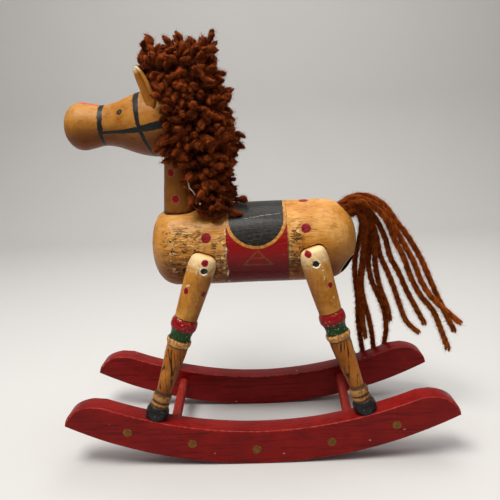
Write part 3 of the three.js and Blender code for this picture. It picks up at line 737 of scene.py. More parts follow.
def barrelMaterial():
    material, tree, shader = newMaterial("paintedBarrel")
    metres, x, oy, oz = objectPlace(tree)
    angle = calc(tree, "ARCTAN2", calc(tree, "ABSOLUTE", oy), minus(tree, oz, barrel["axisZ"]))
    v = times(tree, angle, barrel["radius"])
    wobble = fade(tree, speckle(tree, metres, 0.35, 3.0), 0.2, 0.8, -0.35, 0.35)
    fineWobble = fade(tree, speckle(tree, metres, 1.2, 3.0), 0.2, 0.8, -0.3, 0.3)

    def region(centreX, halfX, centreV, halfV):
        a = fadeOut(tree, apart(tree, x, centreX), halfX * 0.6, halfX * 1.25)
        b = fadeOut(tree, apart(tree, v, centreV), halfV * 0.6, halfV * 1.25)
        return times(tree, a, b)

    cracked = anyOf(tree, region(-41, 12, 40, 17), region(-20, 4.5, 48, 18), region(25.5, 4.5, 42, 18))
    worn = times(tree, region(-17.2, 1.6, 46, 9), 0.7)
    colour, roughness, height = ochreWood(tree, metres, "x", cracked, worn)
    for centreX, centreV, radius in barrel["dots"]:
        colour, height = paintDot(tree, colour, height, x, v, centreX, centreV, radius, fineWobble)
    # grain split that starts at the rump's dot
    split = segmentDistance(tree, x, v, *barrel["split"])[0]
    split = fadeOut(tree, split, 0.15, 0.45)
    colour = mixColour(tree, times(tree, split, 0.8), colour, ochre["crack"])

    # red girth
    low, high = barrel["girth"]
    x1 = plus(tree, x, wobble)
    girth = times(
        tree, fade(tree, x1, low - 0.12, low + 0.12), fadeOut(tree, x1, high - 0.12, high + 0.12)
    )
    rub = fade(tree, speckle(tree, stretched(tree, metres, (0.4, 1, 1)), 0.6, 4.0, 0.65), 0.56, 0.74)
    red = mixColour(tree, times(tree, rub, 0.35), paints["girthRed"], barrelTones["girthRubbed"])
    # painted shade: the girth darkens towards the barrel's underside
    red = mixColour(tree, fade(tree, v, 40, 56, 0.0, 0.8), red, barrelTones["girthPaintedShade"])
    flecks = fadeOut(tree, cells(tree, metres, 0.36, "F1"), 0.06, 0.12)
    flecks = times(tree, flecks, fade(tree, speckle(tree, metres, 0.16), 0.5, 0.6))
    red = mixColour(tree, times(tree, flecks, 0.8), red, barrelTones["girthFleck"])
    colour = mixColour(tree, girth, colour, red)
    roughness = mixValue(tree, girth, roughness, 0.36)
    height = plus(tree, height, times(tree, girth, 0.35))
    # pale chips of ground along the girth's front edge, dark varnish along its rear edge
    edge = fadeOut(tree, apart(tree, x1, low - 0.2), 0.25, 0.75)
    edge = times(tree, edge, fade(tree, speckle(tree, metres, 0.5, 3.0), 0.54, 0.60))
    colour = mixColour(tree, times(tree, edge, 0.9), colour, barrelTones["ground"])
    seam = fadeOut(tree, apart(tree, x1, high + 0.35), 0.1, 0.6)
    seam = times(tree, seam, fade(tree, v, 25, 34))
    colour = mixColour(tree, times(tree, seam, 0.75), colour, ochre["crack"])

    # a faint triangle on each side of the girth
    middle, top, bottom, half = barrel["triangle"]
    lines = []
    strokes = (
        ((middle, top), (middle + half, bottom)),
        ((middle, top), (middle - half, bottom)),
        ((middle - half, bottom), (middle + half, bottom)),
        ((middle - 3.6, top + 4.6), (middle + 3.6, top + 4.6)),
    )
    for start, end in strokes:
        away = segmentDistance(tree, x, v, start, end)[0]
        lines.append(fadeOut(tree, plus(tree, away, fineWobble), 0.35, 0.75))
    motif = times(
        tree, anyOf(tree, *lines), fade(tree, speckle(tree, metres, 0.8, 2.0), 0.35, 0.65, 0.15, 0.6)
    )
    colour = mixColour(tree, motif, colour, paints["olive"])

    # black saddle with a gold border, round at the bottom
    centreX, roundV, blackRadius, goldRadius = barrel["saddle"]
    down = calc(tree, "MAXIMUM", minus(tree, v, roundV), 0.0)
    across = minus(tree, x, centreX)
    away = calc(tree, "SQRT", plus(tree, times(tree, across, across), times(tree, down, down)))
    away = plus(tree, away, times(tree, wobble, 0.8))
    gold = fadeOut(tree, away, goldRadius - 0.1, goldRadius + 0.15)
    black = fadeOut(tree, away, blackRadius - 0.12, blackRadius + 0.12)
    goldTone = mixColour(
        tree, fade(tree, speckle(tree, metres, 0.5), 0.35, 0.65), paints["gold"], barrelTones["goldDark"]
    )
    colour = mixColour(tree, gold, colour, goldTone)
    dust = speckle(tree, metres, 0.5, 5.0, 0.7)
    blackTone = mixColour(
        tree, fade(tree, dust, 0.45, 0.75), barrelTones["saddle"], barrelTones["saddleDust"]
    )
    colour = mixColour(tree, black, colour, blackTone)
    roughness = mixValue(tree, black, roughness, fade(tree, dust, 0.3, 0.7, 0.34, 0.5))
    height = plus(tree, height, times(tree, gold, 0.25))
    height = plus(tree, height, times(tree, black, 0.2))
    # nicks, and the long pale scratch
    nick = fadeOut(tree, cells(tree, stretched(tree, metres, (0.5, 1, 1)), 0.30, "F1"), 0.05, 0.11)
    nick = times(tree, times(tree, nick, black), fade(tree, v, 19, 30))
    colour = mixColour(tree, times(tree, nick, 0.8), colour, barrelTones["nick"])
    height = minus(tree, height, times(tree, nick, 0.5))
    scratch = segmentDistance(tree, x, plus(tree, v, wobble), *barrel["scratch"])[0]
    scratch = fadeOut(tree, scratch, 0.10, 0.34)
    scratch = times(tree, scratch, fade(tree, speckle(tree, metres, 0.9, 3.0), 0.36, 0.54))
    scratch = times(tree, scratch, fade(tree, oy, 0.5, -0.5))  # on the left only
    colour = mixColour(tree, times(tree, scratch, 0.7), colour, barrelTones["scratch"])
    height = minus(tree, height, times(tree, scratch, 0.3))

    # bare wood inside the bored holes and scoops, darkened as painted shade
    reach = calc(
        tree,
        "SQRT",
        plus(tree, times(tree, oy, oy), calc(tree, "POWER", minus(tree, oz, barrel["axisZ"]), 2.0)),
    )
    inside = fadeOut(tree, reach, 23.6, 24.9)
    inside = times(tree, inside, times(tree, fade(tree, x, -47, -45), fadeOut(tree, x, 41, 43)))
    colour = mixColour(tree, times(tree, inside, 0.8), colour, barrelTones["cutWoodShade"])
    # painted shade: the rump hole's inside is painted near-black
    hole = lineDistance(tree, metres, barrel["hole"], barrel["holeAxis"])
    near = fadeOut(tree, distance3(tree, metres, barrel["hole"]), 11.0, 12.0)
    holeShadeMask = times(tree, fadeOut(tree, hole, 6.42, 6.60), near)
    colour = mixColour(tree, holeShadeMask, colour, barrelTones["holeShade"])
    rim = times(tree, fadeOut(tree, hole, 6.9, 7.5), times(tree, near, inverse(tree, holeShadeMask)))
    colour = mixColour(tree, times(tree, rim, 0.55), colour, ochre["dab"])
    finishShader(tree, shader, colour, roughness, height, 1.0, 0.0009, 0.12, 0.22)
    return material


barrelPiece = makeBarrel()
finishPiece(barrelPiece, barrelMaterial(), "ochre_wood", "body_barrel")
print("barrel:", len(barrelPiece.data.polygons), "faces")


# legs, turned; the profile is radius and distance from the sole
legs = {
    "length": 108.5,
    "nail": 97.4,  # distance from the sole
    "shoulder": 100,
    "nailHole": (1.95, 6.75),  # radius, how far its floor is from the leg's middle
    "nailMarks": {"front": (2.44, 97.75), "hind": (-0.77, 97.05)},  # across and along the leg
    "sides": 72,
    "step": 0.55,
    "profile": [
        (5.4, -4), (5.9, -0.6), (6.75, 1.8), (7.05, 3.8), (6.7, 5.8), (5.8, 7.5), (5.15, 8.3), (5.6, 9.2),
        (5.5, 10.4), (4.95, 11.3), (5.6, 12.4), (5.8, 13.8), (5.4, 15.6), (4.4, 17.0), (4.5, 20),
        (5.0, 25.5), (5.4, 31), (5.9, 37.5), (6.4, 44), (6.6, 48.2), (7.35, 50.0), (7.4, 52), (6.5, 53.4),
        (6.3, 55.5), (6.9, 58.4), (7.8, 60.2), (7.95, 62.4), (7.6, 64.6), (6.95, 65.7), (7.1, 70),
        (7.35, 75), (7.6, 80), (7.9, 86), (8.2, 92), (8.3, 97), (7.9, 101), (6.9, 103.9), (5.0, 105.3),
        (2.4, 105.6),
    ],
    # painted dots: angle from straight outwards towards the tail, distance from the sole, radius
    "front": [(12, 102.8, 1.9), (-33, 83.4, 1.8), (53, 84.2, 1.8), (150, 92, 1.8), (-120, 76, 1.8)],
    "hind": [(-24, 104.0, 1.9), (27, 82.6, 1.8), (-80, 79.0, 1.8), (160, 90, 1.8), (100, 96, 1.8)],
}


def makeLeg(name, spec):
    sole, along = legAxis(spec)
    seed = spec["seed"]
    across = Vector((1, 0, 0))
    across = (across - along * across.dot(along)).normalized()

    def swell(c, s, height, r):
        lump = 0.14 * noise.noise(Vector((c * 1.1 + seed, s * 1.1, height * 0.045)))
        return lump + 0.05 * noise.noise(Vector((c * 5 + seed, s * 5, height * 0.35)))

    piece = turnedPiece(
        f"leg_{name}_wood",
        evenProfile(legs["profile"], legs["step"]),
        legs["sides"],
        sole,
        along,
        across,
        swell,
    )
    for vertex in piece.data.vertices:
        point = vertex.co / mm
        share = min(1, max(0, (point - sole).dot(along) / legs["length"]))
        point += across * spec["bow"] * math.sin(math.pi * share)
        point.z = max(point.z, rockerTop(point.x) + 0.15)
        vertex.co = point * mm
    nail = sole + along * legs["nail"] + Vector((spec["nailX"], 0, 0))
    radius, floor = legs["nailHole"]
    for vertex in piece.data.vertices:
        offset = vertex.co / mm - nail
        if offset.y * spec["side"] > floor and math.hypot(offset.x, offset.z) < radius:
            vertex.co.y = (nail.y + spec["side"] * floor) * mm
    sharpen(piece, 38)
    storePlace(piece, sole, along, across, spec["side"])
    return piece


legTones = {
    "gouge": (0.020, 0.006, 0.002),
    "hipGround": (0.76, 0.60, 0.33),
    "chip": (0.74, 0.62, 0.44),
    "nailRing": (0.80, 0.72, 0.55),
    "nailHole": (0.045, 0.033, 0.016),
    "red": (0.20, 0.004, 0.006),
    "redWorn": (0.30, 0.014, 0.012),
    "green": (0.010, 0.036, 0.007),
    "greenWorn": (0.035, 0.10, 0.02),
    "collar": (0.34, 0.14, 0.035),
    "collarRubbed": (0.52, 0.28, 0.10),
    "seam": (0.030, 0.010, 0.005),
    "ringWear": (0.66, 0.50, 0.36),
    "bead": (0.13, 0.050, 0.013),
    "beadRubbed": (0.34, 0.165, 0.05),
    "groove": (0.035, 0.020, 0.012),
    "hoof": (0.012, 0.012, 0.012),
    "hoofScuffed": (0.085, 0.080, 0.070),
    "hoofFleck": (0.70, 0.62, 0.48),
}


def legMaterial(name, dots, nail):
    material, tree, shader = newMaterial(name)
    across, out, along = placeOf(tree)
    metres = objectPlace(tree)[0]
    angle = calc(tree, "ARCTAN2", across, out)
    v = times(tree, angle, 7.9)
    wobble = fade(tree, speckle(tree, metres, 0.6, 3.0), 0.2, 0.8, -0.5, 0.5)
    fineWobble = fade(tree, speckle(tree, metres, 1.3, 3.0), 0.2, 0.8, -0.3, 0.3)
    colour, roughness, height = ochreWood(tree, metres, "z")

    colour = mixColour(tree, 1.0, colour, ochre["leg"], "MULTIPLY")
    lowShaft = fadeOut(tree, along, 40, 66)
    colour = mixColour(tree, lowShaft, colour, ochre["shaft"], "MULTIPLY")

    # dark gouges and long cracks in the lower shaft
    s = plus(tree, along, wobble)
    gougePlace = stretched(tree, metres, (1.0, 1.0, 0.022))
    gouge = apart(tree, speckle(tree, gougePlace, 0.25, 1.5, 0.5, 0.3), 0.5)
    gouge = fadeOut(tree, gouge, 0.012, 0.034)
    lower = times(tree, fade(tree, s, 17, 20), fadeOut(tree, s, 46, 49))
    gouge = times(
        tree, times(tree, gouge, lower), fade(tree, speckle(tree, metres, 0.09, 2.0), 0.42, 0.52)
    )
    colour = mixColour(tree, times(tree, gouge, 0.95), colour, legTones["gouge"])
    height = minus(tree, height, times(tree, gouge, 0.9))

    # pale ground shows through on the hip
    hip = times(
        tree, fade(tree, plus(tree, s, times(tree, wobble, 6.0)), 93, 103), fade(tree, out, -2, 3)
    )
    colour = mixColour(tree, times(tree, hip, 0.75), colour, legTones["hipGround"])
    chip = times(
        tree, fade(tree, speckle(tree, metres, 0.26, 4.0, 0.6), 0.64, 0.68), fade(tree, s, 68, 74)
    )
    colour = mixColour(tree, times(tree, chip, 0.75), colour, legTones["chip"])
    height = minus(tree, height, times(tree, chip, 0.4))
    for degrees, distanceUp, radius in dots:
        if distanceUp > legs["shoulder"]:  # on the round top, measured as seen from the side
            farSide = fade(tree, out, 0.0, 1.0, 10.0, 0.0)
            away = plus(tree, fineWobble, farSide)
            colour, height = paintDot(
                tree,
                colour,
                height,
                across,
                along,
                math.sin(math.radians(degrees)) * 7.9,
                distanceUp - 0.4,
                radius,
                away,
            )
            continue
        dotV = math.radians(degrees) * 7.9
        colour, height = paintDot(tree, colour, height, v, along, dotV, distanceUp, radius, fineWobble)

    # pale ring round the nail's hole
    nailAway = distance(tree, across, along, *nail)
    ring = times(tree, fadeOut(tree, plus(tree, nailAway, fineWobble), 2.2, 2.7), fade(tree, out, 3, 5))
    colour = mixColour(tree, times(tree, ring, 0.85), colour, legTones["nailRing"])
    # painted shade: the inside of the nail's hole is painted near-black
    hole = fadeOut(tree, nailAway, 1.70, 1.85)
    hole = times(tree, hole, fade(tree, out, 3, 5))
    colour = mixColour(tree, hole, colour, legTones["nailHole"])

    # rings: pale, green, red
    def band(low, high, soft=0.25, ragged=0.5):
        edge = plus(tree, along, times(tree, wobble, ragged))
        return times(
            tree, fade(tree, edge, low - soft, low + soft), fadeOut(tree, edge, high - soft, high + soft)
        )

    red = mixColour(
        tree, fade(tree, speckle(tree, metres, 0.9, 4.0), 0.45, 0.7), legTones["red"], legTones["redWorn"]
    )
    green = mixColour(
        tree,
        fade(tree, speckle(tree, metres, 0.9, 4.0), 0.45, 0.75),
        legTones["green"],
        legTones["greenWorn"],
    )
    pale = mixColour(
        tree,
        fade(tree, speckle(tree, metres, 0.55, 3.0), 0.45, 0.6),
        legTones["collar"],
        legTones["collarRubbed"],
    )
    colour = mixColour(tree, band(48.4, 53.2, 0.2, 0.15), colour, pale)
    colour = mixColour(tree, band(52.6, 59.4), colour, green)
    colour = mixColour(tree, band(59.0, 66.2), colour, red)
    rings = band(52.6, 66.2)
    seams = anyOf(
        tree,
        band(47.9, 48.7, 0.25, 0.1),
        band(52.9, 53.6, 0.25, 0.1),
        band(59.0, 59.6, 0.25, 0.1),
        band(65.6, 66.5, 0.3, 0.1),
    )
    colour = mixColour(tree, times(tree, seams, 0.7), colour, legTones["seam"])
    wear = times(tree, fade(tree, speckle(tree, metres, 0.7, 4.0, 0.65), 0.62, 0.68), rings)
    colour = mixColour(tree, times(tree, wear, 0.8), colour, legTones["ringWear"])
    roughness = mixValue(tree, rings, roughness, 0.32)

    # beads over the hoof: brown in the grooves, rubbed pale on the crowns
    beads = band(8.0, 17.0)
    crown = fade(
        tree,
        plus(
            tree,
            calc(tree, "SQRT", plus(tree, times(tree, across, across), times(tree, out, out))),
            wobble,
        ),
        5.2,
        5.7,
    )
    beadTone = mixColour(tree, crown, legTones["bead"], legTones["beadRubbed"])
    colour = mixColour(tree, beads, colour, beadTone)
    groove = anyOf(tree, band(16.0, 18.2, 0.5), band(11.0, 11.8, 0.3), band(7.8, 8.7, 0.3))
    colour = mixColour(tree, times(tree, groove, 0.8), colour, legTones["groove"])

    # black hoof, scuffed
    hoof = fadeOut(tree, plus(tree, along, times(tree, wobble, 0.4)), 7.6, 8.2)
    scuff = fade(tree, speckle(tree, metres, 0.6, 5.0, 0.7), 0.56, 0.70)
    hoofTone = mixColour(tree, scuff, legTones["hoof"], legTones["hoofScuffed"])
    colour = mixColour(tree, hoof, colour, hoofTone)
    fleck = times(tree, fadeOut(tree, cells(tree, metres, 0.45, "F1"), 0.09, 0.14), hoof)
    fleck = times(tree, fleck, fade(tree, speckle(tree, metres, 0.2), 0.53, 0.60))
    colour = mixColour(tree, times(tree, fleck, 0.7), colour, legTones["hoofFleck"])
    roughness = mixValue(tree, hoof, roughness, 0.30)
    finishShader(tree, shader, colour, roughness, height, 0.8, 0.0006, 0.06, 0.25)
    return material


legMaterials = {
    "front": legMaterial("paintedFrontLeg", legs["front"], legs["nailMarks"]["front"]),
    "hind": legMaterial("paintedHindLeg", legs["hind"], legs["nailMarks"]["hind"]),
}
for name, spec in legSpecs.items():
    piece = makeLeg(name, spec)
    finishPiece(piece, legMaterials[name.split("_")[0]], "leg_wood", f"leg_{name}")
print("legs ready")


# rockers: crescents of board with rounded edges, lofted along X
rocker = {
    "outerY": 42,
    "thickness": 12.7,
    "floorRadius": 260,
    "tipX": 119.4,
    "crown": (103, 41.4),
    "edge": 0.9,
    "dots": [(-81.2, 23.8), (-42.1, 15.0), (-3.0, 9.9), (42.5, 13.6), (81.4, 23.7)],
}


def rockerOutline(inset):
    reach = math.asin(rocker["tipX"] / rocker["floorRadius"])
    outline = []
    for i in range(121):
        angle = -reach + 2 * reach * i / 120
        outline.append(
            (rocker["floorRadius"] * math.sin(angle), rocker["floorRadius"] * (1 - math.cos(angle)))
        )
    tip = outline[-1]
    crownX, crownZ = rocker["crown"]
    control = (tip[0] - 1.2, crownZ - 1.6)
    shoulder = []
    for i in range(1, 17):
        t = i / 16
        shoulder.append(((1 - t) ** 2 * tip[0] + 2 * t * (1 - t) * control[0] + t * t * crownX,
                         (1 - t) ** 2 * tip[1] + 2 * t * (1 - t) * control[1] + t * t * crownZ))
    outline += shoulder
    topEnd = 95.0
    top = []
    for i in range(96):
        x = topEnd - 2 * topEnd * i / 95
        top.append((x, min(rockerTop(x), crownZ - 0.2 + 0.2 * (abs(x) < topEnd))))
    outline += top
    outline += [(-x, z) for x, z in reversed(shoulder)]
    if inset == 0:
        return outline
    moved = []
    count = len(outline)
    for i, (x, z) in enumerate(outline):
        x0, z0 = outline[i - 1]
        x1, z1 = outline[(i + 1) % count]
        dx, dz = x1 - x0, z1 - z0
        size = math.hypot(dx, dz) or 1
        moved.append((x - dz / size * inset, z + dx / size * inset))
    return moved


def makeRocker(name, side):
    edge = rocker["edge"]
    middleY = side * (rocker["outerY"] - rocker["thickness"] / 2)
    half = rocker["thickness"] / 2
    rows = []
    for degrees in (0, 22, 45, 68, 90):
        a = math.radians(degrees)
        rows.append((edge * (1 - math.sin(a)), half - edge + edge * math.cos(a)))
    rows += [(inset, -y) for inset, y in reversed(rows)]
    points, faces = [], []
    for inset, y in rows:
        for k, (x, z) in enumerate(rockerOutline(inset)):
            wave = 0.10 * noise.noise(Vector((x * 0.06, y * 0.1 + side * 5, z * 0.06)))
            points.append((x, middleY + y + wave * 0.6, max(z + (wave if z > 12 else 0), 0)))
    count = len(points) // len(rows)
    for row in range(len(rows) - 1):
        for k in range(count):
            a, b = row * count + k, row * count + (k + 1) % count
            faces.append((a, b, b + count, a + count))
    faces.append(tuple(reversed(range(count))))
    last = (len(rows) - 1) * count
    faces.append(tuple(last + k for k in range(count)))
    piece = makePiece(name, points, faces)
    piece.data.polygons[-1].use_smooth = False
    piece.data.polygons[-2].use_smooth = False
    return piece


rockerTones = {
    "deepRed": (0.165, 0.0022, 0.0016),
    "red": (0.230, 0.0050, 0.0030),
    "grain": (0.080, 0.0010, 0.0008),
    "fineGrain": (0.34, 0.020, 0.010),
    "rubbedEdge": (0.42, 0.060, 0.035),
    "bareEdge": (0.55, 0.25, 0.14),
    "knock": (0.60, 0.30, 0.18),
    "dot": (0.115, 0.050, 0.005),
    "dotPale": (0.20, 0.095, 0.014),
}


def rockerMaterial():
    material, tree, shader = newMaterial("rockerPaint")
    metres, x, y, z = objectPlace(tree)
    across = calc(tree, "ABSOLUTE", y)
    top = calc(tree, "MINIMUM", plus(tree, calc(tree, "DIVIDE", times(tree, x, x), 492.0), 22.24), 41.4)
    drop = times(
        tree,
        calc(
            tree,
            "POWER",
            times(
                tree, calc(tree, "MAXIMUM", minus(tree, calc(tree, "ABSOLUTE", x), 103.0), 0.0), 1 / 16.4
            ),
            2.4,
        ),
        11.8,
    )
    top = minus(tree, top, drop)
    bottom = calc(tree, "DIVIDE", times(tree, x, x), 508.0)
    upDown = calc(tree, "MINIMUM", minus(tree, top, z), minus(tree, z, bottom))
    inOut = calc(tree, "MINIMUM", minus(tree, 42.0, across), minus(tree, across, 29.3))
    edge = calc(tree, "MAXIMUM", upDown, inOut)
    grainPlace = stretched(tree, metres, (0.06, 1.0, 1.0))
    grain = speckle(tree, grainPlace, 0.8, 4.0, 0.65, 0.3)
    fine = speckle(tree, grainPlace, 2.4, 3.0, 0.7)
    clouds = speckle(tree, metres, 0.05, 4.0, 0.6)
    colour = mixColour(tree, fade(tree, clouds, 0.3, 0.7), rockerTones["deepRed"], rockerTones["red"])
    colour = mixColour(tree, fade(tree, grain, 0.48, 0.66, 0.0, 0.85), colour, rockerTones["grain"])
    colour = mixColour(tree, fade(tree, fine, 0.60, 0.80, 0.0, 0.35), colour, rockerTones["fineGrain"])
    # edges rubbed pale
    ragged = plus(tree, edge, fade(tree, speckle(tree, metres, 0.45, 5.0, 0.7), 0.25, 0.75, -0.5, 0.6))
    rub = fadeOut(tree, ragged, 0.1, 0.7)
    colour = mixColour(tree, times(tree, rub, 0.5), colour, rockerTones["rubbedEdge"])
    bare = times(
        tree, fadeOut(tree, ragged, -0.15, 0.1), fade(tree, speckle(tree, metres, 0.11, 3.0), 0.54, 0.62)
    )
    colour = mixColour(tree, times(tree, bare, 0.6), colour, rockerTones["bareEdge"])
    # small knocks
    knock = times(
        tree,
        fadeOut(tree, cells(tree, stretched(tree, metres, (0.6, 1, 1)), 0.16, "F1"), 0.05, 0.09),
        fade(tree, speckle(tree, metres, 0.07), 0.5, 0.6),
    )
    colour = mixColour(tree, times(tree, knock, 0.8), colour, rockerTones["knock"])
    # gold dots on the outer faces
    wobble = fade(tree, speckle(tree, metres, 0.9, 3.0), 0.2, 0.8, -0.35, 0.35)
    dots = []
    for dotX, dotZ in rocker["dots"]:
        away = plus(tree, distance(tree, x, z, dotX, dotZ), wobble)
        dots.append(fadeOut(tree, away, 2.45, 2.85))
    dot = times(tree, anyOf(tree, *dots), fade(tree, across, 41.0, 41.5))
    goldTone = mixColour(
        tree,
        fade(tree, speckle(tree, metres, 0.8, 3.0), 0.4, 0.65),
        rockerTones["dot"],
        rockerTones["dotPale"],
    )
    colour = mixColour(tree, dot, colour, goldTone)
    roughness = fade(tree, speckle(tree, metres, 0.2, 4.0), 0.3, 0.7, 0.30, 0.42)
    roughness = mixValue(tree, rub, roughness, 0.5)
    height = minus(tree, times(tree, dot, 0.3), times(tree, grain, 0.35))
    height = minus(tree, height, times(tree, knock, 0.8))
    finishShader(tree, shader, colour, roughness, height, 0.6, 0.0004, 0.04, 0.2)
    return material


rockerPaint = rockerMaterial()
for name, side in (("left", -1), ("right", 1)):
    piece = makeRocker(f"rocker_{name}_board", side)
    finishPiece(piece, rockerPaint, "rocker_paint", f"rocker_{name}")
print("rockers ready")


# crossbars
crossbars = {"radius": 3.2, "height": 19.6, "front": (-54.6, -57.4), "rear": (54.8, 57.4)}


crossbarTones = {
    "red": (0.22, 0.010, 0.007),
    "paleRed": (0.32, 0.034, 0.020),
    "worn": (0.48, 0.16, 0.09),
}


def crossbarMaterial():
    material, tree, shader = newMaterial("crossbarPaint")
    metres = objectPlace(tree)[0]
    grain = speckle(tree, stretched(tree, metres, (1.0, 0.08, 1.0)), 1.0, 4.0, 0.65)
    colour = mixColour(tree, fade(tree, grain, 0.4, 0.7), crossbarTones["red"], crossbarTones["paleRed"])
    worn = fade(tree, speckle(tree, metres, 0.35, 5.0, 0.7), 0.57, 0.68)
    colour = mixColour(tree, times(tree, worn, 0.5), colour, crossbarTones["worn"])
    roughness = fade(tree, grain, 0.3, 0.7, 0.42, 0.58)
    finishShader(tree, shader, colour, roughness, grain, 0.5, 0.0003, 0.1, 0.3)
    return material


crossbarPaint = crossbarMaterial()
for name in ("front", "rear"):
    leftX, rightX = crossbars[name]
    start = Vector((leftX, -32, crossbars["height"]))
    end = Vector((rightX, 32, crossbars["height"]))
    length = (end - start).length
    profile = [(crossbars["radius"], length * i / 60) for i in range(61)]

    def swell(c, s, height, r):
        return 0.06 * noise.noise(Vector((c, s, height * 0.08)))

    piece = turnedPiece(f"crossbar_{name}_bar", profile, 40, start, end - start, (1, 0, 0), swell)
    sharpen(piece)
    finishPiece(piece, crossbarPaint, "crossbar_paint", f"crossbar_{name}")


# neck
neck = {
    "radius": 11,
    "seat": (-44.3, 0, 151.4),
    "lean": (0.085, 0, 1),
    "rise": 0.06,
    "length": 42,
    "seatShade": (0.06, 0.022, 0.008),
    # angle from straight left towards the tail, distance up the neck, radius
    "dots": [(-30, 24.9, 2.3), (-12, 9.3, 2.35), (70, 17, 2.3), (170, 12, 2.3), (150, 30, 2.3)],
}


def makeNeck():
    edge = [(neck["radius"] - 0.7, -4.0), (neck["radius"] - 0.15, -3.4), (neck["radius"], -2.8)]
    profile = edge + [(neck["radius"], -2 + i * 0.75) for i in range(int((neck["length"] + 2) / 0.75))]
    seat = Vector(neck["seat"])

    def swell(c, s, height, r):
        return 0.12 * noise.noise(Vector((c * 1.4, s * 1.4, height * 0.07)))

    piece = turnedPiece("neck_wood", profile, 112, seat, neck["lean"], (1, 0, 0), swell)
    for vertex in piece.data.vertices:
        point = vertex.co / mm
        floor = seat.z + neck["rise"] * (point.x - seat.x) + 0.55
        if point.z < floor:
            below = min(1, (floor - point.z) / 1.2)
            point.z = floor
            radial = point - (seat + Vector((0.085, 0, 1)) * (point.z - seat.z))
            point -= radial * 0.05 * below
        vertex.co = point * mm
    sharpen(piece, 50)
    storePlace(piece, seat, neck["lean"], (1, 0, 0), -1)
    return piece


def neckMaterial():
    material, tree, shader = newMaterial("paintedNeck")
    across, out, along = placeOf(tree)
    metres = objectPlace(tree)[0]
    v = times(tree, calc(tree, "ARCTAN2", across, out), neck["radius"])
    wobble = fade(tree, speckle(tree, metres, 1.0, 3.0), 0.2, 0.8, -0.35, 0.35)
    colour, roughness, height = ochreWood(tree, metres, "z")
    colour = mixColour(tree, 0.35, colour, ochre["deep"])
    colour = mixColour(tree, 1.0, colour, ochre["neck"], "MULTIPLY")
    for degrees, up, radius in neck["dots"]:
        colour, height = paintDot(
            tree, colour, height, v, along, math.radians(degrees) * neck["radius"], up, radius, wobble
        )
    # painted shade along the neck's bottom edge, where it meets the seat
    seatShade = fadeOut(tree, plus(tree, along, wobble), 0.2, 1.6)
    colour = mixColour(tree, times(tree, seatShade, 0.85), colour, neck["seatShade"])
    finishShader(tree, shader, colour, roughness, height, 0.7, 0.0005, 0.05, 0.25)
    return material


neckPiece = makeNeck()
finishPiece(neckPiece, neckMaterial(), "ochre_wood", "neck")


# head, turned about X from the nose to the poll
head = {
    "axisZ": 206,
    "profile": [
        (0, -110.8), (4.6, -110.3), (9.6, -108.2), (13.0, -104.6), (14.2, -100.4), (13.4, -94.6),
        (12.0, -87.0), (13.3, -79.0), (16.7, -70.0), (19.0, -62.0), (19.9, -54.0), (18.8, -45.0),
        (14.6, -37.5), (8.0, -33.0), (0, -31.6),
    ],
    "eye": (-73.9, 62, 1.75),
    "noseband": (-86.6, 1.45),
    "browband": [(-65.0, 0), (-64.3, 40), (-62.6, 90), (-58.0, 140), (-55.5, 180)],
    "cheek": [(-87, 111), (-75, 106), (-63, 100), (-41, 89), (-33, 84)],
    "noseStripe": (-95.5, 7.6, 4.6),
}


def makeHead():
    profile = evenProfile(head["profile"], 0.7)
    profile = [pair for pair in profile if pair[0] > 0.25]

    def swell(c, s, height, r):
        return 0.16 * noise.noise(Vector((c * 1.2, s * 1.2, height * 0.06))) * min(1, r / 6)

    piece = turnedPiece("head_wood", profile, 144, (0, 0, head["axisZ"]), (1, 0, 0), (0, 0, 1), swell)
    return piece


headTones = {
    "noseRed": (0.42, 0.030, 0.026),
    "nosePale": (0.55, 0.085, 0.060),
    "bridleGrey": (0.024, 0.025, 0.023),
    "eye": (0.012, 0.014, 0.012),
    "pupil": (0.050, 0.060, 0.055),
}


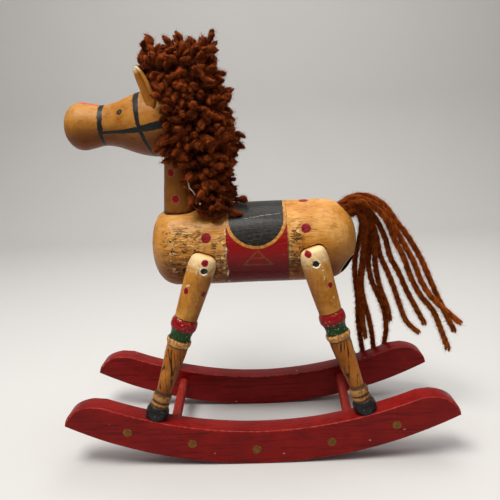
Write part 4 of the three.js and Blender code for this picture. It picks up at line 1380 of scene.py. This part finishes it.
def headMaterial():
    material, tree, shader = newMaterial("paintedHead")
    metres, ox, oy, oz = objectPlace(tree)
    height0 = minus(tree, oz, head["axisZ"])
    angle = calc(tree, "ARCTAN2", calc(tree, "ABSOLUTE", oy), height0)
    degrees = times(tree, angle, 180 / math.pi)
    wobble = fade(tree, speckle(tree, metres, 0.45, 3.0), 0.2, 0.8, -0.45, 0.45)
    fineWobble = fade(tree, speckle(tree, metres, 1.1, 3.0), 0.2, 0.8, -0.25, 0.25)
    colour, roughness, height = ochreWood(tree, metres, "x")
    colour = mixColour(tree, 1.0, colour, ochre["head"], "MULTIPLY")

    # straps are measured in mm along x and round the head
    def strap(points, halfWidths, scaleRadius):
        masks = []
        v = times(tree, angle, scaleRadius)
        for (start, end, h0, h1) in zip(points, points[1:], halfWidths, halfWidths[1:]):
            a = (start[0], math.radians(start[1]) * scaleRadius)
            b = (end[0], math.radians(end[1]) * scaleRadius)
            away, share = segmentDistance(tree, ox, v, a, b)
            half = plus(tree, times(tree, share, h1 - h0), h0)
            away = plus(tree, minus(tree, away, half), fineWobble)
            masks.append(fadeOut(tree, away, -0.12, 0.14))
        return anyOf(tree, *masks)

    nosebandX, nosebandHalf = head["noseband"]
    noseband = apart(tree, plus(tree, ox, wobble), nosebandX)
    narrow = fade(tree, degrees, 105, 150, nosebandHalf, 0.9)
    noseband = fadeOut(tree, minus(tree, noseband, narrow), -0.12, 0.14)
    bridle = anyOf(tree, noseband, strap(head["browband"], (1.9, 1.75, 1.25, 1.0, 0.9), 18.0),
                   strap(head["cheek"], (1.15, 1.2, 1.5, 2.3, 2.5), 16.5))
    # red on the nose, and the thin red line up to the browband
    stripeX, stripeHalf, stripeWide = head["noseStripe"]
    v = times(tree, angle, 13.5)
    stripe = distance(
        tree,
        times(tree, minus(tree, ox, stripeX), 1 / stripeHalf),
        times(tree, v, 1 / stripeWide),
        0.0,
        0.0,
    )
    stripe = fadeOut(tree, plus(tree, stripe, times(tree, fineWobble, 0.12)), 0.96, 1.02)
    thin = fadeOut(tree, plus(tree, v, fineWobble), 1.3, 1.6)
    thin = times(tree, thin, times(tree, fade(tree, ox, -88, -86), fadeOut(tree, ox, -67, -66)))
    redTone = mixColour(
        tree,
        fade(tree, speckle(tree, metres, 0.8, 3.0), 0.4, 0.7),
        headTones["noseRed"],
        headTones["nosePale"],
    )
    colour = mixColour(tree, anyOf(tree, stripe, thin), colour, redTone)
    # eye
    eyeX, eyeAngle, eyeRadius = head["eye"]
    eyeAway = distance(tree, ox, times(tree, angle, 15.3), eyeX, math.radians(eyeAngle) * 15.3)
    eyeAway = plus(tree, eyeAway, times(tree, fineWobble, 0.5))
    eye = fadeOut(tree, eyeAway, eyeRadius - 0.1, eyeRadius + 0.15)
    pupil = fadeOut(tree, eyeAway, 0.7, 1.1)
    dark = mixColour(
        tree,
        fade(tree, speckle(tree, metres, 0.6, 4.0), 0.45, 0.75),
        paints["black"],
        headTones["bridleGrey"],
    )
    colour = mixColour(tree, bridle, colour, dark)
    colour = mixColour(tree, eye, colour, headTones["eye"])
    colour = mixColour(tree, times(tree, pupil, 0.7), colour, headTones["pupil"])
    painted = anyOf(tree, bridle, eye)
    roughness = mixValue(tree, painted, roughness, 0.38)
    height = plus(tree, height, times(tree, anyOf(tree, painted, stripe), 0.22))
    finishShader(tree, shader, colour, roughness, height, 0.7, 0.0005, 0.05, 0.25)
    return material


headPiece = makeHead()
finishPiece(headPiece, headMaterial(), "ochre_wood", "head")
print("neck and head ready")


# ears: a leaf with a straight front edge, a round back edge and a scoop on its outer face
ear = {
    "base": (-52.9, 17.0, 211.5),
    "tip": (-61.6, 15.6, 237.5),
    "rings": 44,
    "sides": 48,
    # tipHighlight is a painted highlight at the ear's tip; rootShadow is a painted shadow where the ear
    # meets the head
    "tipHighlight": (0.82, 0.66, 0.38),
    "rootShadow": (0.05, 0.016, 0.005),
}


def earMaterial():
    material, tree, shader = newMaterial("paintedEar")
    metres = objectPlace(tree)[0]
    colour, roughness, height = ochreWood(tree, metres, "z")
    colour = mixColour(tree, 1.0, colour, ochre["ear"], "MULTIPLY")
    tip = addNode(tree, "ShaderNodeAttribute", attribute_name="tip").outputs["Fac"]
    rim = addNode(tree, "ShaderNodeAttribute", attribute_name="rim").outputs["Fac"]
    # painted shade: the scoop on the outer face is darkened
    colour = mixColour(tree, times(tree, inverse(tree, rim), 0.55), colour, ochre["deep"])
    # painted highlight at the tip
    colour = mixColour(tree, times(tree, fade(tree, tip, 0.82, 0.97), 0.7), colour, ear["tipHighlight"])
    # painted shadow at the root
    root = fadeOut(tree, tip, 0.02, 0.22)
    colour = mixColour(tree, times(tree, root, 0.8), colour, ear["rootShadow"])
    finishShader(tree, shader, colour, roughness, height, 0.6, 0.0005, 0.04, 0.25)
    return material


def makeEar(name, side):
    base = Vector(ear["base"])
    tip = Vector(ear["tip"])
    base.y *= side
    tip.y *= side
    along = (tip - base).normalized()
    length = (tip - base).length
    outwards = Vector((-0.25, side, 0))
    outwards = (outwards - along * outwards.dot(along)).normalized()
    front = Vector((-1, 0, 0))
    front = (front - along * front.dot(along) - outwards * front.dot(outwards)).normalized()
    points, tips, rims, faces = [], [], [], []
    for i in range(ear["rings"] + 1):
        t = i / ear["rings"]
        shape = min(1, 1.6 * t + 0.62) * (1 - max(0, (t - 0.62) / 0.38) ** 2.6) ** 0.5 if t < 1 else 0.0
        frontEdge = 2.7 * shape ** 0.8
        backEdge = (2.4 + 1.6 * math.sin(math.pi * min(1, t / 0.95)) ** 0.8) * shape
        middle = (frontEdge - backEdge) / 2
        half = max((frontEdge + backEdge) / 2, 0.02)
        thick = 1.9 * (0.85 + 0.25 * t) * max(shape, 0.02) ** 0.6
        for k in range(ear["sides"]):
            angle = 2 * math.pi * k / ear["sides"]
            c, s = math.cos(angle), math.sin(angle)
            c2 = math.copysign(abs(c) ** 0.85, c)
            s2 = math.copysign(abs(s) ** 0.75, s)
            scoop = 0.62 * max(0, s) * math.exp(-((c - 0.18) / 0.52) ** 4) * min(1, t * 4)
            points.append(
                base + along * length * t + front * (middle + half * c2) + outwards * thick * (s2 - scoop)
            )
            tips.append(t)
            rims.append(1 - min(1, max(0, s) * math.exp(-((c - 0.18) / 0.5) ** 4) * 1.3))
    sides = ear["sides"]
    for i in range(ear["rings"]):
        for k in range(sides):
            a, b = i * sides + k, i * sides + (k + 1) % sides
            faces.append((a, b, b + sides, a + sides))
    faces.append(tuple(reversed(range(sides))))
    faces.append(tuple(ear["rings"] * sides + k for k in range(sides)))
    piece = makePiece(name, points, faces)
    faceOutwards(piece)
    storeValues(piece.data, "tip", tips)
    storeValues(piece.data, "rim", rims)
    return piece


earPaint = earMaterial()
for name, side in (("left", -1), ("right", 1)):
    finishPiece(makeEar(f"ear_{name}_wood", side), earPaint, "ochre_wood", f"ear_{name}")


# mane: tufts of yarn scattered over a lumpy body, thicker locks along its outline
mane = {
    "halfWidth": 16.0,
    "round": 9.0,
    "inset": 6.6,  # how far the body lies inside the mane's outline
    "density": 260000,  # tufts per square metre, before they are thinned to the spacing
    "spacing": 2.7,
    "tuftLength": 7.6,
    "lockEnd": 4.5,  # how far a lock's core stops before its tip
    "fuzzDensity": 0.30,  # hairs per square mm of tuft, in each layer of fuzz
    "extraFuzz": [230, 330, 430],  # seeds of the further layers
    "seed": 7,
    # root in painted shade, body, ends in painted highlight
    "shadeBodyHighlight": (
        (0.010, 0.0014, 0.0005), (0.130, 0.0185, 0.0032), (0.37, 0.072, 0.0105),
    ),
    "outline": [
        (-60.5, 232), (-61.5, 239), (-55, 245), (-46, 248.5), (-34, 249.5), (-22, 247), (-17.5, 240),
        (-15.5, 231), (-13.5, 223), (-11, 214), (-9.5, 204), (-8, 194), (-9.5, 183), (-12, 173),
        (-10.5, 163), (-10, 153), (-13, 147.5), (-20, 147), (-31, 153), (-37.5, 166), (-44.5, 180),
        (-49.5, 196), (-50, 210), (-54, 222),
    ],
    # root, tip (x, z), y, half width
    "locks": [
        ((-58, 240), (-65.3, 242), -8, 1.4), ((-57, 243), (-59, 255.2), -3, 1.0),
        ((-52, 242), (-52.5, 252.5), -6, 1.7), ((-43.5, 242.5), (-44, 252.8), -2, 1.8),
        ((-36.5, 244), (-35.4, 255.5), 0, 1.8), ((-29, 242), (-27.3, 252), -5, 1.8),
        ((-26, 243), (-19.6, 253.9), -2, 2.3), ((-25, 240), (-17.8, 247.5), -7, 1.7),
        ((-21, 233), (-13.5, 236.2), -2, 1.8), ((-22.5, 228), (-15.2, 230.6), -7, 1.6),
        ((-20, 223), (-12.5, 224.8), 0, 1.7), ((-18, 217), (-10.5, 218.2), -3, 1.6),
        ((-15.5, 212.5), (-7.6, 213.9), 0, 1.7), ((-17, 206), (-9.7, 206.5), -8, 1.6),
        ((-13, 197), (-5.1, 196.2), 0, 1.9), ((-12.5, 191.5), (-4.4, 189.3), -2, 1.9),
        ((-17.5, 183), (-10.3, 181), 0, 1.9), ((-20, 175.5), (-13.3, 174.1), 2, 1.5),
        ((-15, 167.5), (-7.6, 165), 0, 1.7), ((-13.5, 159.5), (-5.9, 156.9), -2, 1.8),
        ((-16.5, 154), (-9.3, 150.7), -6, 1.7), ((-15.5, 149.5), (-8.7, 145.2), -8, 1.8),
    ],
    # locks on both sides, along the front edge and the bottom:
    # x and z of the tip, distance out of root and tip
    "sideLocks": [
        (-50.9, 219.3, 17.5, 20.5), (-49.0, 212.9, 17.5, 20.5), (-47.5, 207.2, 17.5, 20.5),
        (-49.1, 200.9, 17.5, 20.5), (-50.5, 195.4, 17.5, 20.5), (-51.1, 188.9, 17, 20),
        (-47.9, 183.5, 16, 19.5), (-42.2, 178.4, 15, 18.5), (-38.7, 171.5, 15, 18.5),
        (-35.9, 162.9, 16, 19.5), (-33.5, 156.6, 18, 20.5), (-27.0, 153.5, 18, 20.5),
        (-20.4, 150.6, 18, 20.5), (-43.5, 216.0, 18, 21), (-41.0, 209.5, 18, 21), (-40.5, 203.5, 18, 21),
        (-42.5, 197.5, 18, 21), (-43.5, 191.5, 17, 20), (-41.5, 185.5, 16, 19),
    ],
    "sideLockBack": (6, 5),  # from tip to root, in x and z
    "sideLockRise": 2.0,  # how far its tip stands off the wood
}


def insideWood(point):
    x, y, z = point
    poll = math.hypot(y, z - head["axisZ"])
    profile = head["profile"]
    for (r0, x0), (r1, x1) in zip(profile, profile[1:]):
        if x0 <= x <= x1 and poll < r0 + (r1 - r0) * (x - x0) / (x1 - x0) + 0.6:
            return True
    aside = x - neck["seat"][0] - 0.085 * (z - neck["seat"][2])  # the neck leans
    if z < 200 and math.hypot(aside, y) < neck["radius"] + 0.6:
        return True
    return math.hypot(y, z - barrel["axisZ"]) < barrel["radius"] + 0.4


def makeManeBody():
    line = smoothLine(
        [(x, 0, z) for x, z in mane["outline"]] + [(mane["outline"][0][0], 0, mane["outline"][0][1])], 3.0
    )[:-1]
    count = len(line)
    normals = []
    for i in range(count):
        edge = line[(i + 1) % count] - line[i - 1]
        normals.append(Vector((edge.z, 0, -edge.x)).normalized())
    middle = sum(line, Vector()) / count
    if sum((line[i] - middle).dot(normals[i]) for i in range(count)) < 0:
        normals = [-normal for normal in normals]
    points, faces, rows = [], [], []
    steps = 7
    for i in range(steps + 1):
        a = math.pi / 2 * i / steps
        rows.append(
            (
                mane["halfWidth"] - mane["round"] * (1 - math.cos(a)),
                mane["inset"] + mane["round"] * 0.75 * (1 - math.sin(a)),
            )
        )
    rows = rows + [(0.0, mane["inset"])] + [(-y, inset) for y, inset in reversed(rows)]
    for y, inset in rows:
        for point, normal in zip(line, normals):
            lump = 1.3 * noise.noise(Vector((point.x * 0.13, y * 0.13, point.z * 0.13)))
            points.append(point - normal * (inset - lump) + Vector((0, y * (1 + 0.05 * lump), 0)))
    for row in range(len(rows) - 1):
        for k in range(count):
            a, b = row * count + k, row * count + (k + 1) % count
            faces.append((a, b, b + count, a + count))
    # close each side with rings that shrink to the middle
    for row, sign in ((0, 1), (len(rows) - 1, -1)):
        ring = [row * count + k for k in range(count)]
        for shrink in (0.72, 0.42, 0.14):
            start = len(points)
            for k in range(count):
                point = points[row * count + k]
                centre = Vector(
                    (line[k].x * 0.25 + middle.x * 0.75, point.y, middle.z * 0.55 + line[k].z * 0.45)
                )
                moved = centre.lerp(point, shrink)
                moved.y += sign * 1.6 * (1 - shrink) + 0.8 * noise.noise(moved * 0.15)
                points.append(moved)
            for k in range(count):
                a, b = ring[k], ring[(k + 1) % count]
                c, d = start + (k + 1) % count, start + k
                faces.append((b, a, d, c) if sign > 0 else (a, b, c, d))
            ring = [start + k for k in range(count)]
        faces.append(tuple(ring) if sign < 0 else tuple(reversed(ring)))
    covers = [0.0 if insideWood(point) else 1.0 for point in points]
    leans = [Vector((0.10, 0, -0.22 if point.z < 236 else 0.25)) for point in points]
    # locks
    locks = [
        (Vector((x0, y, z0)), Vector((x1, y, z1)), half) for (x0, z0), (x1, z1), y, half in mane["locks"]
    ]
    backX, backZ = mane["sideLockBack"]
    rise = mane["sideLockRise"]
    for side in (-1, 1):
        for x, z, rootY, tipY in mane["sideLocks"]:
            while insideWood((x, tipY - rise, z)) or insideWood((x + backX, rootY, z + backZ)):
                rootY += 0.5
                tipY += 0.5
            locks.append((Vector((x + backX, side * rootY, z + backZ)), Vector((x, side * tipY, z)), 2.0))
    for root, tip, half in locks:
        along = (tip - root).normalized()
        tip = root + along * max((tip - root).length - mane["lockEnd"], 2.0)
        across = along.cross(Vector((0, 1, 0))).normalized()
        start = len(points)
        sides = 8
        for i in range(7):
            t = i / 6
            radius = half * (0.75 + 0.35 * math.sin(math.pi * t)) * (1 if i < 6 else 0.45)
            centre = root.lerp(tip, t) + Vector((0, 0.5 * math.sin(t * 3 + root.x), 0))
            for k in range(sides):
                angle = 2 * math.pi * k / sides
                sideways = across * radius * math.cos(angle)
                points.append(centre + sideways + Vector((0, 1, 0)) * radius * math.sin(angle))
                leans.append(along * (0.8 + 0.8 * t))
                covers.append(1.0)
        for i in range(6):
            for k in range(sides):
                a, b = start + i * sides + k, start + i * sides + (k + 1) % sides
                faces.append((a, b, b + sides, a + sides))
        faces.append(tuple(start + k for k in reversed(range(sides))))
        faces.append(tuple(start + 6 * sides + k for k in range(sides)))
    piece = makePiece("mane_body", points, faces)
    faceOutwards(piece)
    storeValues(piece.data, "cover", covers)
    storeValues(piece.data, "lean", leans, "FLOAT_VECTOR")
    # tip 0 gives the body and locks the yarn's near-black root colour: a painted shade beneath the tufts
    storeValues(piece.data, "tip", [0.0] * len(points))
    storeValues(piece.data, "shade", [0.0] * len(points))
    return piece


# one tuft: two fat plies laid together, with loose fibres combed along them; it points along +Z
def makeTuft(name, seed, length):
    rng = random.Random(seed)
    points, faces, tips = [], [], []
    bend = Vector((rng.uniform(-0.3, 0.3), rng.uniform(-0.3, 0.3), 0))
    phase = rng.uniform(0, 6.28)
    rings, sides = 7, 6

    def spine(t):
        curl = Vector((math.cos(phase + t * 4.0), math.sin(phase + t * 4.0), 0)) * 1.3 * t
        return Vector((0, 0, length * t)) + bend * length * t * t + curl

    for ply in range(2):
        base = len(points)
        reach = 1 - 0.16 * ply
        for i in range(rings + 1):
            t = i / rings * reach
            angle = phase + ply * math.pi + t * 2.6
            middle = spine(t) + Vector((math.cos(angle), math.sin(angle), 0)) * (0.5 + 0.35 * t)
            radius = (
                0.95 + 0.65 * math.sin(math.pi * (i / rings) ** 1.6)
            ) * (1, 0.95, 0.62)[max(0, i - rings + 2)]
            radius *= 1 + 0.22 * noise.noise(Vector((seed * 3.1, ply * 5.0, i * 0.9)))
            for k in range(sides):
                turnAngle = 2 * math.pi * k / sides + ply * 0.7
                points.append(middle + Vector((math.cos(turnAngle), math.sin(turnAngle), 0)) * radius)
                tips.append(t)
        for i in range(rings):
            for k in range(sides):
                a, b = base + i * sides + k, base + i * sides + (k + 1) % sides
                faces.append((a, b, b + sides, a + sides))
        faces.append(tuple(base + rings * sides + k for k in range(sides)))
    for fibre in range(20):
        t = rng.uniform(0.25, 1.0)
        angle = rng.uniform(0, 2 * math.pi)
        out = Vector((math.cos(angle), math.sin(angle), 0))
        heading = (out + Vector((0, 0, rng.uniform(0.5, 2.4)))).normalized()
        start = spine(t) + out * rng.uniform(0.7, 1.2)
        reach = rng.uniform(1.3, 2.6)
        width = Vector((-out.y, out.x, 0)) * rng.uniform(0.07, 0.13)
        droop = Vector((rng.uniform(-0.6, 0.6), rng.uniform(-0.6, 0.6), rng.uniform(-0.5, 0.5)))
        base = len(points)
        for share in (0, 0.55, 1):
            centre = start + heading * reach * share + droop * share * share
            size = 1 - 0.6 * share
            points += [centre - width * size, centre + width * size]
            tips += [min(1, t * 0.6 + 0.4 * share + 0.1)] * 2
        faces += [(base, base + 1, base + 3, base + 2), (base + 2, base + 3, base + 5, base + 4)]
    mesh = bpy.data.meshes.new(name)
    mesh.from_pydata([point * mm for point in points], [], faces)
    mesh.shade_smooth()
    storeValues(mesh, "tip", tips)
    return bpy.data.objects.new(name, mesh)


# a loose hair of the yarn's fuzz; it points along +Z
def makeHair(name, seed, length):
    rng = random.Random(seed)
    points, faces = [], []
    bend = Vector((rng.uniform(-0.5, 0.5), rng.uniform(-0.5, 0.5), 0))
    for i in range(3):
        t = i / 2
        centre = Vector((0, 0, length * t)) + bend * length * t * t
        width = 0.065 * (1 - 0.7 * t)
        points += [centre + Vector((width, 0, 0)), centre + Vector((-width, 0, 0))]
    for i in range(2):
        faces.append((2 * i, 2 * i + 1, 2 * i + 3, 2 * i + 2))
    mesh = bpy.data.meshes.new(name)
    mesh.from_pydata([point * mm for point in points], [], faces)
    mesh.shade_smooth()
    # tip 1 gives every hair the yarn's light end colour, a painted highlight
    storeValues(mesh, "tip", [1.0] * len(points))
    return bpy.data.objects.new(name, mesh)


# scatters a collection's shapes over a surface; "cover" thins them out and "lean" bends them over
def scatterTree():
    tree = bpy.data.node_groups.new("scatterYarn", "GeometryNodeTree")
    face = tree.interface
    face.new_socket("Surface", in_out="INPUT", socket_type="NodeSocketGeometry")
    sockets = (
        ("Shapes", "NodeSocketCollection", None),
        ("Density", "NodeSocketFloat", 1000.0),
        ("Spacing", "NodeSocketFloat", 0.0),
        ("Smallest", "NodeSocketFloat", 0.8),
        ("Largest", "NodeSocketFloat", 1.2),
        ("Tilt", "NodeSocketFloat", 0.5),
        ("Seed", "NodeSocketInt", 0),
        ("Material", "NodeSocketMaterial", None),
    )
    for name, kind, value in sockets:
        socket = face.new_socket(name, in_out="INPUT", socket_type=kind)
        if value is not None:
            socket.default_value = value
    face.new_socket("Yarn", in_out="OUTPUT", socket_type="NodeSocketGeometry")
    inputs = tree.nodes.new("NodeGroupInput").outputs
    output = tree.nodes.new("NodeGroupOutput")
    cover = addNode(
        tree, "GeometryNodeInputNamedAttribute", {"Name": "cover"}, data_type="FLOAT"
    ).outputs["Attribute"]
    lean = addNode(
        tree, "GeometryNodeInputNamedAttribute", {"Name": "lean"}, data_type="FLOAT_VECTOR"
    ).outputs["Attribute"]
    spread = addNode(tree, "GeometryNodeDistributePointsOnFaces", {
        "Mesh": inputs["Surface"], "Distance Min": inputs["Spacing"], "Density Max": inputs["Density"],
        "Density Factor": cover, "Seed": inputs["Seed"]}, distribute_method="POISSON")

    def chance(kind, low, high, offset):
        seed = plus(tree, inputs["Seed"], float(offset))
        node = addNode(tree, "FunctionNodeRandomValue", data_type=kind)
        usable = [socket for socket in node.inputs if socket.enabled]
        for socket, value in zip([s for s in usable if s.name in ("Min", "Max")], (low, high)):
            if isinstance(value, bpy.types.NodeSocket):
                tree.links.new(value, socket)
            else:
                socket.default_value = value
        tree.links.new(seed, [s for s in usable if s.name == "Seed"][0])
        return [socket for socket in node.outputs if socket.enabled][0]

    jitter = chance("FLOAT_VECTOR", (-1, -1, -1), (1, 1, 1), 1)
    jitter = addNode(
        tree, "ShaderNodeVectorMath", {0: jitter, "Scale": inputs["Tilt"]}, operation="SCALE"
    ).outputs[0]
    heading = addNode(
        tree, "ShaderNodeVectorMath", {0: spread.outputs["Normal"], 1: jitter}, operation="ADD"
    ).outputs[0]
    heading = addNode(tree, "ShaderNodeVectorMath", {0: heading, 1: lean}, operation="ADD").outputs[0]
    heading = addNode(tree, "ShaderNodeVectorMath", {0: heading}, operation="NORMALIZE").outputs[0]
    aimed = addNode(
        tree, "FunctionNodeAlignRotationToVector", {"Vector": heading}, axis="Z"
    ).outputs["Rotation"]
    spin = addNode(
        tree,
        "FunctionNodeAxisAngleToRotation",
        {"Axis": (0, 0, 1), "Angle": chance("FLOAT", 0.0, 6.283, 2)},
    ).outputs["Rotation"]
    turned = addNode(
        tree, "FunctionNodeRotateRotation", {"Rotation": aimed, "Rotate By": spin}, rotation_space="LOCAL"
    ).outputs["Rotation"]
    shapes = addNode(
        tree,
        "GeometryNodeCollectionInfo",
        {"Collection": inputs["Shapes"], "Separate Children": True, "Reset Children": True},
    )
    size = chance("FLOAT", inputs["Smallest"], inputs["Largest"], 3)
    placed = addNode(
        tree,
        "GeometryNodeInstanceOnPoints",
        {
            "Points": spread.outputs["Points"],
            "Instance": shapes.outputs["Instances"],
            "Pick Instance": True,
            "Instance Index": chance("INT", 0, 99, 4),
            "Rotation": turned,
            "Scale": size,
        },
    )
    shaded = addNode(
        tree,
        "GeometryNodeStoreNamedAttribute",
        {"Geometry": placed.outputs["Instances"], "Name": "shade"},
        data_type="FLOAT",
        domain="INSTANCE",
    )
    value = [socket for socket in shaded.inputs if socket.name == "Value" and socket.enabled][0]
    tree.links.new(chance("FLOAT", 0.0, 1.0, 5), value)
    solid = addNode(tree, "GeometryNodeRealizeInstances", {"Geometry": shaded.outputs["Geometry"]})
    painted = addNode(
        tree,
        "GeometryNodeSetMaterial",
        {"Geometry": solid.outputs["Geometry"], "Material": inputs["Material"]},
    )
    tree.links.new(painted.outputs["Geometry"], output.inputs[0])
    return tree


scatterYarn = scatterTree()


def scatter(name, surface, shapes, material, density, spacing, smallest, largest, tilt, seed):
    collection = bpy.data.collections.new(f"{name}_shapes")
    for shape in shapes:
        collection.objects.link(shape)
    piece = bpy.data.objects.new(name, surface.data.copy())
    scene.collection.objects.link(piece)
    modifier = piece.modifiers.new("scatter", "NODES")
    modifier.node_group = scatterYarn
    values = {
        "Shapes": collection,
        "Density": float(density),
        "Spacing": spacing,
        "Smallest": smallest,
        "Largest": largest,
        "Tilt": tilt,
        "Seed": seed,
        "Material": material,
    }
    for item in scatterYarn.interface.items_tree:
        if item.in_out == "INPUT" and item.name in values:
            modifier[item.identifier] = values[item.name]
    bakeModifiers(piece)
    for shape in shapes:
        bpy.data.objects.remove(shape)
    bpy.data.collections.remove(collection)
    return piece


maneYarn = yarnMaterial("maneYarn", *mane["shadeBodyHighlight"], 0.5)
maneBody = makeManeBody()
tufts = [makeTuft(f"tuft_{i}", 60 + i, mane["tuftLength"] * (0.8 + 0.1 * i)) for i in range(5)]
maneTufts = scatter(
    "mane_tufts", maneBody, tufts, maneYarn, mane["density"], mane["spacing"] * mm, 0.7, 1.2, 0.75,
    mane["seed"],
)
finishPiece(maneBody, maneYarn, "yarn", "mane_pile")
finishPiece(maneTufts, maneYarn, "yarn")
print("mane:", len(maneTufts.data.polygons), "faces")


# fuzz that stands off strands or tufts
def addFuzz(name, surfaces, material, density, seed, length, lean, tilt, endCover=0.0):
    points, faces, covers = [], [], []
    for surface in surfaces:
        start = len(points)
        points += [vertex.co / mm for vertex in surface.data.vertices]
        faces += [tuple(start + index for index in polygon.vertices) for polygon in surface.data.polygons]
        tips = [item.value for item in surface.data.attributes["tip"].data]
        covers += [1 + endCover * max(0, tip - 0.88) / 0.12 for tip in tips]
    surface = makePiece(f"{name}_surface", points, faces)
    storeValues(surface.data, "cover", covers)
    storeValues(surface.data, "lean", [Vector(lean)] * len(points), "FLOAT_VECTOR")
    hairs = [makeHair(f"{name}_hair_{i}", seed + i, length * (0.7 + 0.15 * i)) for i in range(5)]
    piece = scatter(name, surface, hairs, material, density * 1e6, 0.0, 0.6, 1.3, tilt, seed)
    bpy.data.objects.remove(surface)
    finishPiece(piece, material, "yarn")
    return piece


tailFuzz = addFuzz(
    "tail_fuzz", strands, tailYarn, tail["fuzzDensity"], 90, 1.9, (0.1, 0, -0.45), 0.7, 2.0
)
maneFuzz = addFuzz("mane_fuzz", [maneTufts], maneYarn, mane["fuzzDensity"], 130, 1.9, (0, 0, 0), 0.8)
for extra in mane["extraFuzz"]:
    addFuzz(f"mane_fuzz_{extra}", [maneTufts], maneYarn, mane["fuzzDensity"], extra, 1.5, (0, 0, 0), 1.2)
print(
    "fuzz:", len(tailFuzz.data.polygons), "faces on the tail,", len(maneFuzz.data.polygons), "on the mane"
)

# sewing threads that came loose at the mane's edge
threads = {
    "pale": [
        (-36.2, -21.5, 173.5), (-35.5, -22.2, 170.6), (-35.2, -22.4, 168.6), (-33.2, -22.2, 166.0),
        (-32.4, -21.6, 163.8),
    ],
    "curl": [
        (-32.5, -21.2, 164.2), (-34.2, -21.8, 160.6), (-33.6, -22.4, 157.6), (-30.6, -22.6, 155.2),
        (-26.4, -22.4, 154.2), (-21.9, -21.6, 154.8),
    ],
    "back": [(-12.6, -3, 194.4), (-9.0, -3.2, 193.6), (-6.4, -3, 191.6)],
    "radius": 0.26,
    # root in painted shade, body, ends in painted highlight
    "paleShadeBodyHighlight": ((0.50, 0.42, 0.34), (0.62, 0.54, 0.46), (0.70, 0.62, 0.54)),
}
paleThread = yarnMaterial("paleThread", *threads["paleShadeBodyHighlight"], 0.1)
for name, material in (("pale", paleThread), ("curl", maneYarn), ("back", paleThread)):
    thread = pliedYarn(
        f"thread_{name}", smoothLine(threads[name], 0.5), 2, threads["radius"], 0.16, 2.4, 70, sides=5
    )
    finishPiece(thread, material, "yarn")


# pieces taken over as they are: dowels, nails, plug and backing tape
def plainWood(name, tone, dark):
    material, tree, shader = newMaterial(name)
    metres = objectPlace(tree)[0]
    grain = speckle(tree, stretched(tree, metres, (1, 1, 0.15)), 0.8, 4.0, 0.6)
    colour = mixColour(tree, fade(tree, grain, 0.4, 0.7), tone, dark)
    finishShader(tree, shader, colour, fade(tree, grain, 0.3, 0.7, 0.6, 0.8), grain, 0.4, 0.0003)
    return material


def nailMaterial():
    material, tree, shader = newMaterial("dullNail")
    metres = objectPlace(tree)[0]
    stain = speckle(tree, metres, 1.2, 4.0, 0.7)
    colour = mixColour(tree, fade(tree, stain, 0.4, 0.65), (0.030, 0.024, 0.014), (0.085, 0.070, 0.042))
    finishShader(tree, shader, colour, fade(tree, stain, 0.3, 0.7, 0.45, 0.7), stain, 0.6, 0.0003)
    shader.inputs["Metallic"].default_value = 0.3
    return material


def tapeMaterial():
    material, tree, shader = newMaterial("backingTape")
    metres = objectPlace(tree)[0]
    weave = addNode(
        tree,
        "ShaderNodeTexWave",
        {"Vector": metres, "Scale": 1.2, "Distortion": 0.4},
        bands_direction="Z",
    ).outputs["Fac"]
    colour = mixColour(tree, weave, (0.045, 0.018, 0.008), (0.09, 0.04, 0.018))
    finishShader(tree, shader, colour, fade(tree, weave, 0, 1, 0.8, 0.95), weave, 0.5, 0.0003)
    return material


bareDowel = plainWood("bareDowel", (0.56, 0.38, 0.18), (0.40, 0.24, 0.10))
dullNail = nailMaterial()
backingTape = tapeMaterial()
kept = {"hoof_dowel": bareDowel, "neck_dowel": bareDowel, "head_dowel": bareDowel, "hip_nail": dullNail,
        "mane_backing": backingTape, "tail_plug": tailYarn}
for name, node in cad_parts.items():
    for start, material in kept.items():
        if name.startswith(start):
            node.data.materials.clear()
            node.data.materials.append(material)


# floor, light and world
stage = {
    "floor": (0.56, 0.55, 0.535),
    "sky": (0.95, 0.96, 1.0),
    "horizon": (0.16, 0.155, 0.15),
    "worldStrength": 0.42,
}


def makeStage():
    points, faces = [], []
    back, radius, height, half = 620, 260, 1100, 1600
    section = [(-1500, 0), (back, 0)]
    for i in range(1, 17):
        angle = math.pi / 2 * i / 16
        section.append((back + radius * math.sin(angle), radius * (1 - math.cos(angle))))
    section.append((back + radius, height))
    for y, z in section:
        points += [(-half, y, z), (half, y, z)]
    for i in range(len(section) - 1):
        faces.append((2 * i, 2 * i + 1, 2 * i + 3, 2 * i + 2))
    floor = makePiece("floor", points, faces)
    material, tree, shader = newMaterial("paleFloor")
    metres = objectPlace(tree)[0]
    cloud = speckle(tree, metres, 0.01, 3.0)
    colour = mixColour(tree, cloud, stage["floor"], tuple(value * 0.97 for value in stage["floor"]))
    finishShader(tree, shader, colour, fade(tree, cloud, 0.3, 0.7, 0.55, 0.65))
    floor.data.materials.append(material)


def addLight(name, place, target, size, power, colour=(1, 1, 1)):
    data = bpy.data.lights.new(name, "AREA")
    data.shape = "RECTANGLE"
    data.size, data.size_y = size
    data.energy = power
    data.color = colour
    lamp = bpy.data.objects.new(name, data)
    lamp.location = place
    lamp.rotation_euler = (Vector(target) - Vector(place)).to_track_quat("-Z", "Y").to_euler()
    scene.collection.objects.link(lamp)


makeStage()
addLight("keyLight", (-0.22, -0.30, 0.95), (0, 0, 0.1), (0.50, 0.36), 10.5, (1.0, 0.97, 0.93))
addLight("topLight", (0.20, 0.20, 1.0), (0, 0, 0.1), (0.8, 0.6), 5.5, (1.0, 0.98, 0.96))
world = bpy.data.worlds.new("world")
scene.world = world
world.use_nodes = True
sky = world.node_tree
upwards = addNode(
    sky, "ShaderNodeSeparateXYZ", {0: addNode(sky, "ShaderNodeTexCoord").outputs["Generated"]}
).outputs[2]
sky.links.new(
    mixColour(sky, fade(sky, upwards, 0.0, 0.9), stage["horizon"], stage["sky"]),
    sky.nodes["Background"].inputs["Color"],
)
sky.nodes["Background"].inputs["Strength"].default_value = stage["worldStrength"]
